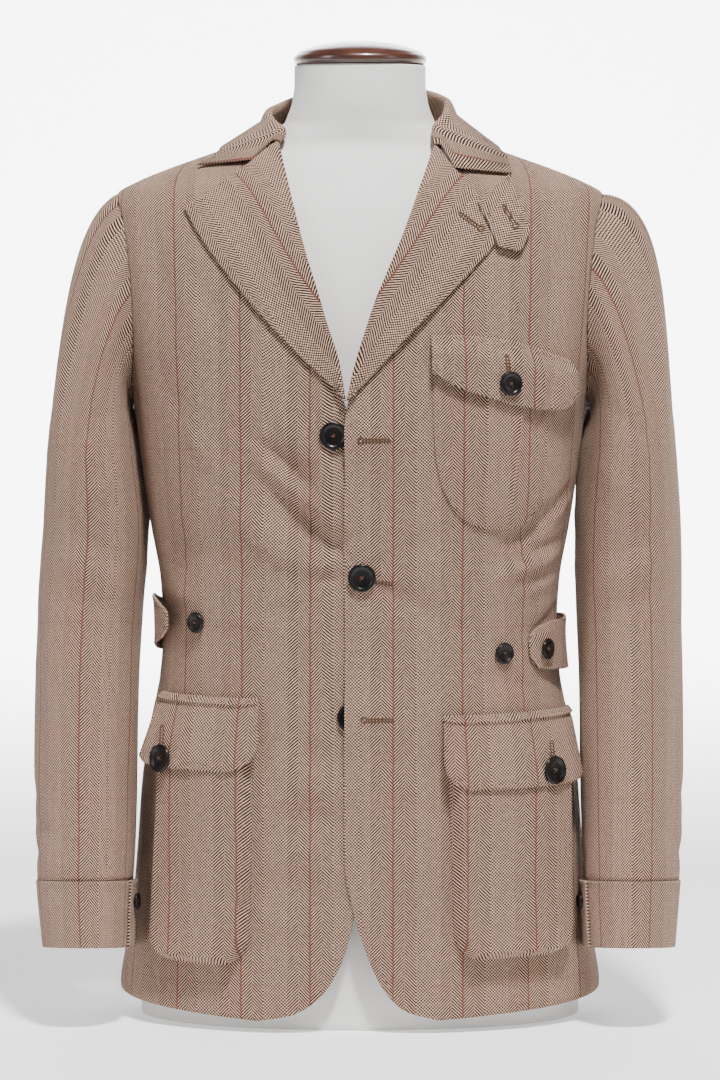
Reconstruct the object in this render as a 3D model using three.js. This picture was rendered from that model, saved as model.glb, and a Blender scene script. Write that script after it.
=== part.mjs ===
// Safari jacket in herringbone wool, hanging open-necked on a limbless dress form.
// Millimetres, +Z up. The chest faces -Y and the wearer's left is +X, so "left" pieces lie at +X.
// Every piece of cloth is a closed wall worked out from one body surface, given by ring sections.
import * as THREE from 'three';

// ---------------------------------------------------------------- driving dimensions
const CLOTH = 1.8;          // thickness of the tweed wall
const SEAM = 0.3;           // gap between two pieces at a seam
const HALF_SEAM = SEAM / 2;
const LAP = 13;             // how far the left front runs past the centre front
const SHOULDER_TIP = 702;   // height of the top of the armhole
const UNDERARM = 524;       // height of the bottom of the armhole
const NECK_POINT = 753;     // height where the shoulder seam meets the collar
const NAPE = 769;           // height of the neck seam at the centre back
const SIDE_SEAM = 1.03;     // where the side seam runs, in quarters round from the centre front
const CUFF_TOP = 120.5;
const CUFF_HEM = 65;

const TWEED = { color: 0x8d7461, roughness: 0.92, metalness: 0 };
const HORN = { color: 0x201b1a, roughness: 0.3, metalness: 0 };
const COVER = { color: 0xe9e6df, roughness: 0.85, metalness: 0 };
const WALNUT = { color: 0x4a2417, roughness: 0.32, metalness: 0 };

// ---------------------------------------------------------------- tables
const table = (names, rows) => rows.map((row) => Object.fromEntries(names.map((name, i) => [name, row[i]])));

// Ring sections of the body surface: half width, depth in front of and behind the side line, squareness.
const BODY = table(['z', 'half', 'front', 'back', 'square'], [
  [0, 209, 130, 120, 2.35],
  [24, 207, 129, 119, 2.35],
  [52, 203, 128, 118, 2.35],
  [88, 197, 127, 117, 2.35],
  [140, 192, 126, 116, 2.35],
  [200, 187.5, 124, 114, 2.35],
  [250, 180, 121, 111, 2.35],
  [290, 172, 118, 107, 2.35],
  [330, 169, 117, 104, 2.35],
  [370, 171, 118, 104, 2.35],
  [420, 179.5, 121, 108, 2.35],
  [470, 187, 124, 113, 2.35],
  [524, 193.5, 125, 118, 2.35],
  [570, 201, 123, 120, 2.35],
  [620, 208, 117, 119, 2.3],
  [660, 211, 106, 113, 2.25],
  [688, 211, 93, 103, 2.2],
  [702, 207, 84, 95, 2.15],
  [712, 190, 77, 89, 2.1],
  [722, 166, 71, 83, 2.1],
  [732, 138, 65, 77, 2.05],
  [742, 110, 59, 72, 2],
  [753, 87, 54, 68, 2],
  [765, 78, 50, 64, 2],
  [780, 72.5, 47, 61, 2],
  [802, 68, 45, 59, 2],
]);

// Sleeve rings below the cap: centre out from the middle, centre back, half width, half depth, tilt.
const SLEEVE = table(['z', 'left', 'right', 'y', 'half', 'deep', 'tilt'], [
  [480, 231.3, 228.3, 0, 40, 72, 0],
  [424, 230.4, 226.8, 2, 44.8, 70, 0],
  [386, 230.5, 228.8, 1, 45.8, 68, 0.02],
  [352, 230.9, 231.2, -3, 45.4, 65, 0.05],
  [283, 232, 233.6, -18, 44.3, 60, 0.09],
  [214, 231.8, 234, -36, 43.6, 56, 0.11],
  [160, 231.2, 233.2, -51, 42.6, 54, 0.12],
  [120.5, 230.2, 233, -63, 40.6, 52, 0.12],
  [CUFF_HEM, 229, 231, -76, 36.6, 50, 0.14],
]);

// ---------------------------------------------------------------- curves through a table
// Value of one column at a height, by a cubic that never overshoots its rows.
function column(rows, name, at, key = 'z') {
  const sign = Math.sign(rows[1][key] - rows[0][key]);
  const last = rows.length - 1;
  let i = rows.findIndex((row, k) => k > 0 && sign * (row[key] - at) >= 0) - 1;
  if (i < 0) i = sign * (at - rows[0][key]) < 0 ? 0 : last - 1;
  const slope = (k) => (rows[k + 1][name] - rows[k][name]) / (rows[k + 1][key] - rows[k][key]);
  const tangent = (k) => {
    if (k === 0) return slope(0);
    if (k === last) return slope(last - 1);
    const product = slope(k - 1) * slope(k);
    return product <= 0 ? 0 : (2 * product) / (slope(k - 1) + slope(k));
  };
  const width = rows[i + 1][key] - rows[i][key];
  const t = Math.min(1, Math.max(0, (at - rows[i][key]) / width));
  const rise = t * t * (3 - 2 * t);
  return rows[i][name] * (1 - rise) + rows[i + 1][name] * rise
    + width * (t * (1 - t) ** 2 * tangent(i) - t * t * (1 - t) * tangent(i + 1));
}

const mix = (a, b, t) => a + (b - a) * t;
const clamp = (t, low = 0, high = 1) => Math.min(high, Math.max(low, t));
const smooth = (t) => clamp(t) ** 2 * (3 - 2 * clamp(t));
const steps = (n, from = 0, to = 1) => Array.from({ length: n + 1 }, (_, i) => mix(from, to, i / n));

// ---------------------------------------------------------------- the body surface
// A ring at one height, with the arc length of its front and back quarter tabled against the angle.
const rings = new Map();
const ARC_STEPS = 40;

function ring(z) {
  const key = z.toFixed(3);
  if (rings.has(key)) return rings.get(key);
  const made = { half: column(BODY, 'half', z), power: 2 / column(BODY, 'square', z), quarters: [] };
  for (const depth of [column(BODY, 'front', z), column(BODY, 'back', z)]) {
    const lengths = [0];
    const at = (k) => {
      const angle = (k / ARC_STEPS) * (Math.PI / 2);
      return [made.half * Math.sin(angle) ** made.power, depth * Math.cos(angle) ** made.power];
    };
    for (let k = 1; k <= ARC_STEPS; k += 1) {
      const [x0, y0] = at(k - 1);
      const [x1, y1] = at(k);
      lengths.push(lengths[k - 1] + Math.hypot(x1 - x0, y1 - y0));
    }
    made.quarters.push({ depth, lengths, length: lengths[ARC_STEPS] });
  }
  rings.set(key, made);
  return made;
}

// Bare body point. q counts quarters round: 0 centre front, 1 side or shoulder line, 2 centre back.
function bodyPoint(q, z) {
  if (Math.abs(q) > 2) return bodyPoint(q - 4 * Math.sign(q), z);
  const { half, power, quarters } = ring(z);
  const way = Math.abs(q);
  const front = way <= 1;
  const quarter = quarters[front ? 0 : 1];
  const along = (front ? way : 2 - way) * quarter.length;
  let k = quarter.lengths.findIndex((length) => length > along) - 1;
  if (k < 0) k = ARC_STEPS - 1;
  const part = (along - quarter.lengths[k]) / (quarter.lengths[k + 1] - quarter.lengths[k]);
  const angle = ((k + part) / ARC_STEPS) * (Math.PI / 2);
  const x = half * Math.sin(angle) ** power;
  const y = quarter.depth * Math.max(0, Math.cos(angle)) ** power;
  return new THREE.Vector3(Math.sign(q) * x, front ? -y : y, z);
}

const frontLength = (z) => ring(z).quarters[0].length;

// Quarters round of the front point that is x from the middle at height z.
function roundOfX(x, z) {
  let low = 0;
  let high = 1;
  for (let i = 0; i < 22; i += 1) {
    const middle = (low + high) / 2;
    if (bodyPoint(middle, z).x < Math.abs(x)) low = middle;
    else high = middle;
  }
  return (Math.sign(x) * (low + high)) / 2;
}

// Main folds of the worn cloth, each a soft trough (depth below 0) or ridge about a line from a to b.
// s is the distance round from the centre front, negative on the wearer's right.
const FOLDS = table(['sa', 'za', 'sb', 'zb', 'wide', 'deep'], [
  [-92, 468, -18, 392, 17, -4.5],
  [-112, 440, -40, 372, 16, 3],
  [-60, 500, -8, 415, 15, 2.5],
  [175, 418, 118, 398, 13, -4],
  [190, 392, 122, 378, 14, 2.5],
  [-190, 420, -130, 392, 14, -3],
  [-40, 176, -84, 150, 20, -3],
  [184, 676, 160, 592, 9, -3],
  [-182, 672, -164, 592, 9, -3],
  [40, 250, 52, 60, 26, 3],
  [-48, 240, -58, 60, 24, 3],
  [14, 372, 80, 346, 14, -2],
]);

function foldAt(s, z) {
  let sum = 0;
  for (const { sa, za, sb, zb, wide, deep } of FOLDS) {
    const ds = sb - sa;
    const dz = zb - za;
    const t = clamp(((s - sa) * ds + (z - za) * dz) / (ds * ds + dz * dz));
    const away = Math.hypot(s - sa - t * ds, z - za - t * dz) / wide;
    const fade = 0.35 + 0.65 * Math.sin(Math.PI * clamp(t, 0.04, 0.96));
    sum += deep * fade * Math.exp(-away * away);
  }
  return sum;
}

function frameAt(pointOf, q, z) {
  const dq = pointOf(q + 0.004, z).sub(pointOf(q - 0.004, z));
  const dz = pointOf(q, Math.min(z + 0.8, 801.5)).sub(pointOf(q, z - 0.8));
  return dq.cross(dz).normalize();
}

const bodyNormal = (q, z) => frameAt(bodyPoint, q, z);

// Worn cloth surface: the body surface with the folds in it, none at the seams.
function clothPoint(q, z) {
  const seamFade = smooth((1 - Math.abs(q)) / 0.12);
  const lift = Math.abs(q) < 1 ? foldAt(q * frontLength(z), z) * seamFade : 0;
  return bodyPoint(q, z).addScaledVector(bodyNormal(q, z), lift);
}

const clothNormal = (q, z) => frameAt(clothPoint, q, z);

// A point that lies above the worn cloth by the given height.
function above(q, z, height) {
  return clothPoint(q, z).addScaledVector(clothNormal(q, z), height);
}

// ---------------------------------------------------------------- closed walls and parts
const group = new THREE.Group();

function addMesh(name, geometry, finish) {
  const mesh = new THREE.Mesh(geometry, new THREE.MeshStandardMaterial(finish));
  mesh.name = name;
  group.add(mesh);
  return mesh;
}

// Closed geometry from an outer and an inner grid of points, rows by columns.
// A grid that closes on itself along its columns has no side rims.
function wallGeometry(outer, inner, closedRound = false) {
  const rows = outer.length;
  const cols = outer[0].length;
  const points = [...outer.flat(), ...inner.flat()];
  const at = (layer, i, j) => layer * rows * cols + i * cols + (j % cols);
  const faces = [];
  const quad = (a, b, c, d) => faces.push(a, b, c, a, c, d);
  const spans = closedRound ? cols : cols - 1;
  for (let i = 0; i < rows - 1; i += 1) {
    for (let j = 0; j < spans; j += 1) {
      quad(at(0, i, j), at(0, i, j + 1), at(0, i + 1, j + 1), at(0, i + 1, j));
      quad(at(1, i, j), at(1, i + 1, j), at(1, i + 1, j + 1), at(1, i, j + 1));
    }
    if (!closedRound) {
      quad(at(0, i, 0), at(0, i + 1, 0), at(1, i + 1, 0), at(1, i, 0));
      quad(at(0, i, cols - 1), at(1, i, cols - 1), at(1, i + 1, cols - 1), at(0, i + 1, cols - 1));
    }
  }
  for (let j = 0; j < spans; j += 1) {
    quad(at(0, 0, j), at(1, 0, j), at(1, 0, j + 1), at(0, 0, j + 1));
    quad(at(0, rows - 1, j), at(0, rows - 1, j + 1), at(1, rows - 1, j + 1), at(1, rows - 1, j));
  }
  let volume = 0;
  for (let f = 0; f < faces.length; f += 3) {
    const [a, b, c] = [points[faces[f]], points[faces[f + 1]], points[faces[f + 2]]];
    volume += a.dot(b.clone().cross(c));
  }
  if (volume < 0) faces.reverse();
  const geometry = new THREE.BufferGeometry();
  geometry.setAttribute('position', new THREE.Float32BufferAttribute(points.flatMap((p) => p.toArray()), 3));
  geometry.setIndex(faces);
  geometry.computeVertexNormals();
  return geometry;
}

// Grid of points from a function of (row value, column value).
const grid = (rowValues, colValues, pointOf) => rowValues.map((v) => colValues.map((u) => pointOf(u, v)));

const offsetGrid = (points, normals, distance) => points.map((row, i) => row.map(
  (point, j) => point.clone().addScaledVector(normals[i][j], distance),
));

// A piece that lies on the body: place gives [q, z] and height gives how far its underside is lifted.
function layPiece(name, rowValues, colValues, place, height, thick = CLOTH) {
  const under = grid(rowValues, colValues, (u, v) => above(...place(u, v), height(u, v)));
  const over = grid(rowValues, colValues, (u, v) => above(...place(u, v), height(u, v) + thick));
  return addMesh(name, wallGeometry(over, under), TWEED);
}

// ---------------------------------------------------------------- fronts and backs
// Width of the armhole in quarters, t degrees down from its top, towards the front (-1) or the back (+1).
const ARMHOLE_MIDDLE = (SHOULDER_TIP + UNDERARM) / 2;
const ARMHOLE_RISE = (SHOULDER_TIP - UNDERARM) / 2;
const ARMHOLE_REACH = 0.21;

function armhole(degrees, towards) {
  const t = THREE.MathUtils.degToRad(degrees);
  const side = 1 + (SIDE_SEAM - 1) * smooth((degrees - 90) / 90);
  return { q: side + towards * ARMHOLE_REACH * Math.max(0, Math.sin(t)) ** 0.85,
    z: ARMHOLE_MIDDLE + ARMHOLE_RISE * Math.cos(t) };
}

// Neck seam height at q quarters round.
const NECK_SEAM = table(['q', 'z'], [[0.48, 734], [0.86, 747], [1, NECK_POINT], [1.4, 763], [2, NAPE]]);
const COLLAR_GAP = 0.8;
const neckSeam = (q) => column(NECK_SEAM, 'z', q, 'q');

// Rows of the two fronts from the hem up: the inner end (x towards its own side, z) and the outer end,
// on the side seam at a height, or on the armhole at an angle down from its top; n is the steps to the next.
const LEFT_FRONT = table(['x', 'z', 'seam', 'arm', 'n'], [
  [66, 11, 24, null, 1],
  [40, 18, 40, null, 1],
  [20, 37, 62, null, 1],
  [6, 66, 88, null, 1],
  [-5, 100, 120, null, 1],
  [-LAP, 150, 165, null, 3],
  [-LAP, 265, 268, null, 4],
  [-LAP, 382, 376, null, 3],
  [-LAP, 470, 452, null, 1],
  [-LAP, 505, 490, null, 1],
  [-10, 527, null, 180, 1],
  [-1, 556, null, 150, 1],
  [14, 604, null, 118, 1],
  [30, 643, null, 88, 1],
  [46, 682, null, 58, 1],
  [57, 713, null, 30, 1],
]);

const RIGHT_FRONT = table(['x', 'z', 'seam', 'arm', 'n'], [
  [85, 10, 24, null, 1],
  [58, 15, 40, null, 1],
  [34, 30, 62, null, 1],
  [17, 56, 88, null, 1],
  [6, 92, 120, null, 1],
  [-6, 150, 165, null, 3],
  [-10, 265, 268, null, 4],
  [-16, 382, 376, null, 3],
  [-6, 470, 452, null, 1],
  [5, 505, 490, null, 1],
  [14, 531, null, 180, 1],
  [21, 560, null, 150, 1],
  [32, 598, null, 118, 1],
  [46, 640, null, 88, 1],
  [57, 680, null, 58, 1],
  [65, 713, null, 30, 1],
]);

// Angles from the top of the armhole at which panels and sleeves share their corners.
const SHOULDER_ANGLE = 12;
const ARMHOLE_ANGLES = [0, SHOULDER_ANGLE, 30, 58, 88, 118, 150, 180];

// Half a seam gap at height z, in quarters round.
const seamShift = (z) => HALF_SEAM / frontLength(z);

// Outer end of a panel row: on the side seam at a height, or on the armhole at an angle from its top.
function outerEnd(seam, arm, towards) {
  const end = arm === null ? { q: SIDE_SEAM, z: seam } : armhole(arm, towards);
  if (arm === null || arm === 180) end.q += towards * seamShift(end.z);
  return end;
}

// Point on the straight stretch between the armhole's two highest corners below the tip.
function nearShoulder(towards, share) {
  const [lower, upper] = [armhole(30, towards), armhole(SHOULDER_ANGLE, towards)];
  return { q: mix(lower.q, upper.q, share), z: mix(lower.z, upper.z, share) };
}

// Ends of each grid row of a front, as {q, z} pairs; the last rows run to the shoulder seam.
function frontRows(rows) {
  const ends = rows.map(({ x, z, seam, arm, n }) => (
    { inner: { q: roundOfX(x, z), z }, outer: outerEnd(seam, arm, -1), n }));
  const [neck, tip] = [NECK_POINT - COLLAR_GAP, SHOULDER_TIP];
  const below = (q) => ({ q, z: neckSeam(q) - COLLAR_GAP });
  for (const [q, share] of [[0.5, 1 / 3], [0.68, 2 / 3], [0.86, 1]]) {
    ends.push({ inner: below(q), outer: nearShoulder(-1, share), n: 1 });
  }
  ends.push({ inner: { q: 1 - seamShift(neck), z: neck }, outer: { q: 1 - seamShift(tip), z: tip } });
  return spreadRows(ends);
}

// Fills in n grid rows from each table row to the next.
function spreadRows(ends) {
  const filled = [];
  ends.slice(0, -1).forEach((row, i) => {
    const next = ends[i + 1];
    for (const t of steps(row.n).slice(0, -1)) {
      const at = (end) => ({ q: mix(row[end].q, next[end].q, t), z: mix(row[end].z, next[end].z, t) });
      filled.push({ inner: at('inner'), outer: at('outer') });
    }
  });
  filled.push(ends[ends.length - 1]);
  return filled;
}

// The left front passes over the top and bottom button, which are left undone.
const TOP_BUTTON = 500;
const MIDDLE_BUTTON = 382;
const BOTTOM_BUTTON = 265;
const LAPPED_BUTTONS = [TOP_BUTTON, BOTTOM_BUTTON];
const BUTTON_RISE = 4.6;

// How far the left front is lifted over the right one where they lap.
function lapLift(x, z) {
  const across = smooth((44 - x) / 26);
  const open = smooth((z - 580) / 60);
  const overButton = LAPPED_BUTTONS.reduce((sum, at) => sum + Math.exp(-(((z - at) / 26) ** 2)), 0);
  return (CLOTH + 1.1 + BUTTON_RISE * overButton) * across * (1 - open);
}

// A panel wall from its row ends, with a lift over the body surface.
function panel(name, side, rows, colValues, lift) {
  const layer = (drop) => rows.map(({ inner, outer }) => colValues.map((u) => {
    const q = mix(inner.q, outer.q, u);
    const z = mix(inner.z, outer.z, u);
    return above(side * q, z, lift(q, z) - drop);
  }));
  addMesh(name, wallGeometry(layer(0), layer(CLOTH)), TWEED);
}

const FRONT_COLUMNS = [0, 0.05, 0.12, 0.2, 0.29, 0.38, 0.47, 0.56, 0.65, 0.74, 0.83, 0.92, 1];
panel('front_left', 1, frontRows(LEFT_FRONT), FRONT_COLUMNS, (q, z) => lapLift(bodyPoint(q, z).x, z));
panel('front_right', -1, frontRows(RIGHT_FRONT), FRONT_COLUMNS, () => 0);

// Rows of a back from the hem up: height at the centre back, height at the side seam or armhole angle.
const BACK = table(['centre', 'seam', 'arm', 'n'], [
  [24, 24, null, 2],
  [110, 120, null, 2],
  [260, 260, null, 2],
  [376, 376, null, 2],
  [500, 480, null, 1],
  [550, null, 180, 1],
  [590, null, 150, 1],
  [632, null, 118, 1],
  [676, null, 88, 1],
  [722, null, 58, 1],
]);

function backRows() {
  const ends = BACK.map(({ centre, seam, arm, n }) => (
    { inner: { q: 2 - seamShift(centre), z: centre }, outer: outerEnd(seam, arm, 1), n }));
  for (const [q, angle] of [[2, 30], [1.5, SHOULDER_ANGLE]]) {
    const z = neckSeam(q) - COLLAR_GAP;
    ends.push({ inner: { q: Math.min(q, 2 - seamShift(z)), z }, outer: armhole(angle, 1), n: 2 });
  }
  const [neck, tip] = [NECK_POINT - COLLAR_GAP, SHOULDER_TIP];
  ends.push({ inner: { q: 1 + seamShift(neck), z: neck }, outer: { q: 1 + seamShift(tip), z: tip } });
  return spreadRows(ends);
}

panel('back_left', 1, backRows(), steps(9), () => 0);
panel('back_right', -1, backRows(), steps(9), () => 0);

// ---------------------------------------------------------------- sleeves
// A sleeve hangs from the armhole: a cap that runs out of the armhole edge, then rings down the arm.
// t counts turns round it: 0 shoulder and outer side, 0.25 front, 0.5 underarm and inner side.
const CAP_LEAVE = { top: [120, 0, -60], front: [58, -30, -60], under: [20, 0, -6], back: [58, 32, -60] };
const SQUARE_CAP_LEAVE = { ...CAP_LEAVE, top: [178, 0, -5] };   // the left shoulder is squarer
const CAP_ARRIVE = { top: [28, 0, -290], front: [6, -8, -150], under: [-6, 0, -60], back: [6, 8, -150] };

function aroundCap(ways, t) {
  const c = Math.cos(2 * Math.PI * t);
  const s = Math.sin(2 * Math.PI * t);
  const along = c > 0 ? ways.top : ways.under;
  const across = s > 0 ? ways.front : ways.back;
  return new THREE.Vector3(...[0, 1, 2].map((k) => along[k] * c * c + across[k] * s * s));
}

function sleeveRing(side, t, z, grow = 0) {
  const angle = 2 * Math.PI * t;
  const power = 2 / 2.2;
  const bend = (value) => Math.sign(value) * Math.abs(value) ** power;
  const middle = column(SLEEVE, side > 0 ? 'left' : 'right', z);
  const out = middle + (column(SLEEVE, 'half', z) + grow) * bend(Math.cos(angle));
  const deep = -(column(SLEEVE, 'deep', z) + grow) * bend(Math.sin(angle));
  return new THREE.Vector3(out, column(SLEEVE, 'y', z) + deep, z - column(SLEEVE, 'tilt', z) * deep);
}

// Point of the sleeve, k from 0 at the armhole to 1 at the first ring, then heights below it.
const CAP_END = SLEEVE[0].z;

function capPoint(side, t, k) {
  const turn = t - Math.floor(t);
  const degrees = turn <= 0.5 ? turn * 360 : (1 - turn) * 360;
  const towards = turn <= 0.5 ? -1 : 1;
  const edge = armhole(degrees, towards);
  const start = bodyPoint(edge.q, edge.z);
  const flat = bodyNormal(edge.q, edge.z);
  const inward = new THREE.Vector3(start.x, 2, ARMHOLE_MIDDLE).sub(start);
  inward.addScaledVector(flat, -inward.dot(flat)).normalize();
  start.addScaledVector(inward, SEAM + 0.5);
  const end = sleeveRing(side, turn, CAP_END);
  const leave = aroundCap(side > 0 ? SQUARE_CAP_LEAVE : CAP_LEAVE, turn);
  const arrive = aroundCap(CAP_ARRIVE, turn);
  const h1 = k * k * (3 - 2 * k);
  return start.multiplyScalar(1 - h1).addScaledVector(end, h1)
    .addScaledVector(leave, k * (1 - k) ** 2).addScaledVector(arrive, -k * k * (1 - k));
}

const ARM_LENGTH = CAP_END - CUFF_TOP;
const CAP_ROWS = [0, 0.1, 0.24, 0.42, 0.62, 0.82];
const ELBOW = 345;
const ARM_ROWS = [480, 452, 420, 386, ELBOW, 300, 250, 205, 160, 138, CUFF_TOP + 0.15];
const SLEEVE_ROWS = [...CAP_ROWS, ...ARM_ROWS.map((z) => 1 + (CAP_END - z) / ARM_LENGTH)];
const ELBOW_ROW = SLEEVE_ROWS.indexOf(1 + (CAP_END - ELBOW) / ARM_LENGTH);
const FRONT_SEAM_ANGLE = 118;
const BACK_SEAM_ANGLE = 88;

// Point of the sleeve: r runs from 0 at the armhole to 1 at the first ring and 2 at the cuff seam.
const sleevePoint = (side, t, r) => (
  r < 1 ? capPoint(side, t, r) : sleeveRing(side, t, CAP_END - (r - 1) * ARM_LENGTH));

function sleeveNormal(side, t, r) {
  const round = sleevePoint(side, t + 0.004, r).sub(sleevePoint(side, t - 0.004, r));
  const down = sleevePoint(side, t, Math.min(2, r + 0.01)).sub(sleevePoint(side, t, Math.max(0, r - 0.01)));
  return round.cross(down).normalize();
}

function sleevePanel(name, side, angles, rows) {
  const turns = angles.map((angle) => angle / 360);
  turns[0] += SLEEVE_GAP;
  turns[turns.length - 1] -= SLEEVE_GAP;
  const layer = (drop) => grid(rows, turns, (t, r) => {
    const point = sleevePoint(side, t, r).addScaledVector(sleeveNormal(side, t, r), -drop);
    point.x *= side;
    return point;
  });
  addMesh(name, wallGeometry(layer(0), layer(CLOTH)), TWEED);
}

const SLEEVE_GAP = 0.0006;      // half a seam, in turns
const below = (limit) => ARMHOLE_ANGLES.filter((angle) => angle <= limit);
const over = (limit) => ARMHOLE_ANGLES.filter((angle) => angle >= limit);
const upperBack = below(BACK_SEAM_ANGLE).slice(1).reverse();
const underBack = over(BACK_SEAM_ANGLE).slice(0, -1).reverse();
const upperAngles = [...upperBack.map((angle) => -angle), ...below(FRONT_SEAM_ANGLE)];
const underAngles = [...over(FRONT_SEAM_ANGLE), ...underBack.map((angle) => 360 - angle)];
// Each ply of the sleeve is one cut piece, built as two solids that part at the elbow.
const toElbow = SLEEVE_ROWS.slice(0, ELBOW_ROW + 1);
const fromElbow = [SLEEVE_ROWS[ELBOW_ROW] + SEAM / ARM_LENGTH, ...SLEEVE_ROWS.slice(ELBOW_ROW + 1)];
for (const [word, side] of [['left', 1], ['right', -1]]) {
  for (const [ply, angles] of [['upper', upperAngles], ['under', underAngles]]) {
    sleevePanel(`sleeve_${ply}_${word}`, side, angles, toElbow);
    sleevePanel(`sleeve_${ply}_fore_${word}`, side, angles, fromElbow);
  }
}

// Cuff band: a strip once round the sleeve end whose last stretch laps over its first, on the inner side.
const CUFF_START = 0.5;
const CUFF_LAP = 0.07;

function cuff(name, side) {
  const turns = steps(24, CUFF_START, CUFF_START - 1 - CUFF_LAP);
  const heights = [CUFF_TOP - 0.15, 90, CUFF_HEM];
  const layer = (drop) => heights.map((z) => turns.map((t) => {
    const done = (CUFF_START - t - (1 - 1.6 * CUFF_LAP)) / (1.1 * CUFF_LAP);
    const point = sleeveRing(side, t, z, 1.2 - drop + smooth(done) * (CLOTH + 0.7));
    return new THREE.Vector3(side * point.x, point.y, point.z);
  }));
  addMesh(name, wallGeometry(layer(0), layer(CLOTH)), TWEED);
}

cuff('cuff_left', 1);
cuff('cuff_right', -1);

// ---------------------------------------------------------------- collar and lapels
// The roll edge of each lapel and its outer edge, from the break point up: x and z towards its own side.
const LEFT_LAPEL = table(['x', 'z', 'ex', 'ez'], [
  [-10.2, 529, -4, 536],
  [-4, 557, 22, 563],
  [4, 583, 46, 589],
  [14, 613, 72, 615],
  [26, 641, 96, 640],
  [38, 670, 110, 656],
  [51, 706, 121, 674],
  [62, 738, null, null],
]);
const RIGHT_LAPEL = table(['x', 'z', 'ex', 'ez'], [
  [12.2, 529, 17, 536],
  [18, 562, 45, 562],
  [27, 590, 72, 589],
  [36, 620, 100, 621],
  [46, 652, 124, 652],
  [54, 682, 138, 673],
  [62, 714, 146, 688],
  [68, 741, null, null],
]);

// Gorge and notch: roll edge, inner point of the notch, lapel tip and collar tip.
const LEFT_GORGE = { roll: [62, 738], notch: [93, 702], lapelTip: [121, 674], collarTip: [127, 715] };
const RIGHT_GORGE = { roll: [68, 741], notch: [108.5, 711.5], lapelTip: [146, 688], collarTip: [136, 722] };
const NOTCH_AT = 0.5;           // share of the gorge line's steps that ends at the notch

// Profile of the roll: steps across from the edge under the lapel, round the fold and out onto the leaf.
// Each row is [how far past the roll edge, height of the middle of the wall].
const ROLL_PROFILE = table(['past', 'high'], [[-2.2, 0.1], [-0.4, 1.3], [0, 2.9], [-1, 4.6], [-3.6, 5.5]]);

function lapelPoint(side, rows, gorge, u, v) {
  const last = rows.length - 1;
  const at = (name, k) => rows[Math.min(k, last)][name];
  const along = v * last;
  const k = Math.min(Math.floor(along), last - 1);
  const t = along - k;
  const curve = (name, top) => {
    const value = (i) => (i >= last && name[0] === 'e' ? top : at(name, Math.max(0, i)));
    return mix(value(k), value(k + 1), t);
  };
  const rollX = curve('x');
  const rollZ = curve('z');
  const edgeX = curve('ex', gorge.lapelTip[0]);
  const edgeZ = curve('ez', gorge.lapelTip[1]);
  const top = u < NOTCH_AT
    ? gorge.roll.map((value, i) => mix(value, gorge.notch[i], u / NOTCH_AT))
    : gorge.notch.map((value, i) => mix(value, gorge.lapelTip[i], (u - NOTCH_AT) / (1 - NOTCH_AT)));
  const straight = gorge.roll.map((value, i) => mix(value, gorge.lapelTip[i], u));
  const pull = v ** 3;
  return [mix(rollX, edgeX, u) + pull * (top[0] - straight[0]),
    mix(rollZ, edgeZ, u) + pull * (top[1] - straight[1])];
}

const LEAF_COLUMNS = [0.08, 0.22, 0.36, NOTCH_AT, 0.68, 0.84, 1];

// Height of the middle of the wall above the worn front across the lapel, from the fold to its edge.
const leafHeight = (u, edge) => mix(5.6, edge + CLOTH / 2, smooth(u * 1.5));

function lapel(name, side, rows, gorge, baseLift, edgeLift) {
  const rowValues = steps(14, 0, 1).map((v) => v ** 0.92);
  const middle = rowValues.map((v) => {
    const lift = baseLift(v);
    const roll = lapelPoint(side, rows, gorge, 0, v);
    const inside = lapelPoint(side, rows, gorge, 0.1, v);
    const toInside = [inside[0] - roll[0], inside[1] - roll[1]];
    const length = Math.hypot(...toInside);
    const narrow = smooth(v / 0.16);
    const turned = ROLL_PROFILE.map(({ past, high }) => {
      const x = roll[0] - (past * toInside[0]) / length;
      const z = roll[1] - (past * toInside[1]) / length;
      return above(side * roundOfX(x, z), z, lift + high);
    });
    const leaf = LEAF_COLUMNS.slice(1).map((u) => {
      const [x, z] = lapelPoint(side, rows, gorge, u, v);
      const tuck = v > 0.999 ? 0.2 : 0;
      const height = lift + leafHeight(u, edgeLift) * mix(0.9, 1, narrow);
      return above(side * roundOfX(x, z - tuck), z - tuck, height);
    });
    return [...turned, ...leaf];
  });
  addRolled(name, middle);
}

// Wall of one thickness about a middle grid that turns over on itself.
function addRolled(name, middle) {
  const rows = middle.length;
  const cols = middle[0].length;
  const normals = middle.map((row, i) => row.map((_, j) => {
    const across = row[Math.min(j + 1, cols - 1)].clone().sub(row[Math.max(j - 1, 0)]);
    const up = middle[Math.min(i + 1, rows - 1)][j].clone().sub(middle[Math.max(i - 1, 0)][j]);
    return across.cross(up).normalize();
  }));
  const outer = offsetGrid(middle, normals, CLOTH / 2);
  const inner = offsetGrid(middle, normals, -CLOTH / 2);
  addMesh(name, wallGeometry(outer, inner), TWEED);
}

lapel('lapel_left', 1, LEFT_LAPEL, LEFT_GORGE,
  (v) => lapLift(0, mix(529, 738, v)) + 0.9, 1.2);
lapel('lapel_right', -1, RIGHT_LAPEL, RIGHT_GORGE, () => 0.9, 1.2);

// ---------------------------------------------------------------- buttons
// Sewn button: a dished disc with a raised rim, its axis along the cloth's normal.
function buttonGeometry(diameter, thick) {
  const r = diameter / 2;
  const profile = [[0, 0], [r * 0.72, 0], [r, thick * 0.45], [r * 0.97, thick * 0.85], [r * 0.86, thick],
    [r * 0.68, thick * 0.72], [0, thick * 0.66]].map(([x, y]) => new THREE.Vector2(x, y));
  const lathe = new THREE.LatheGeometry(profile, 14);
  return weld(lathe);
}

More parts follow.
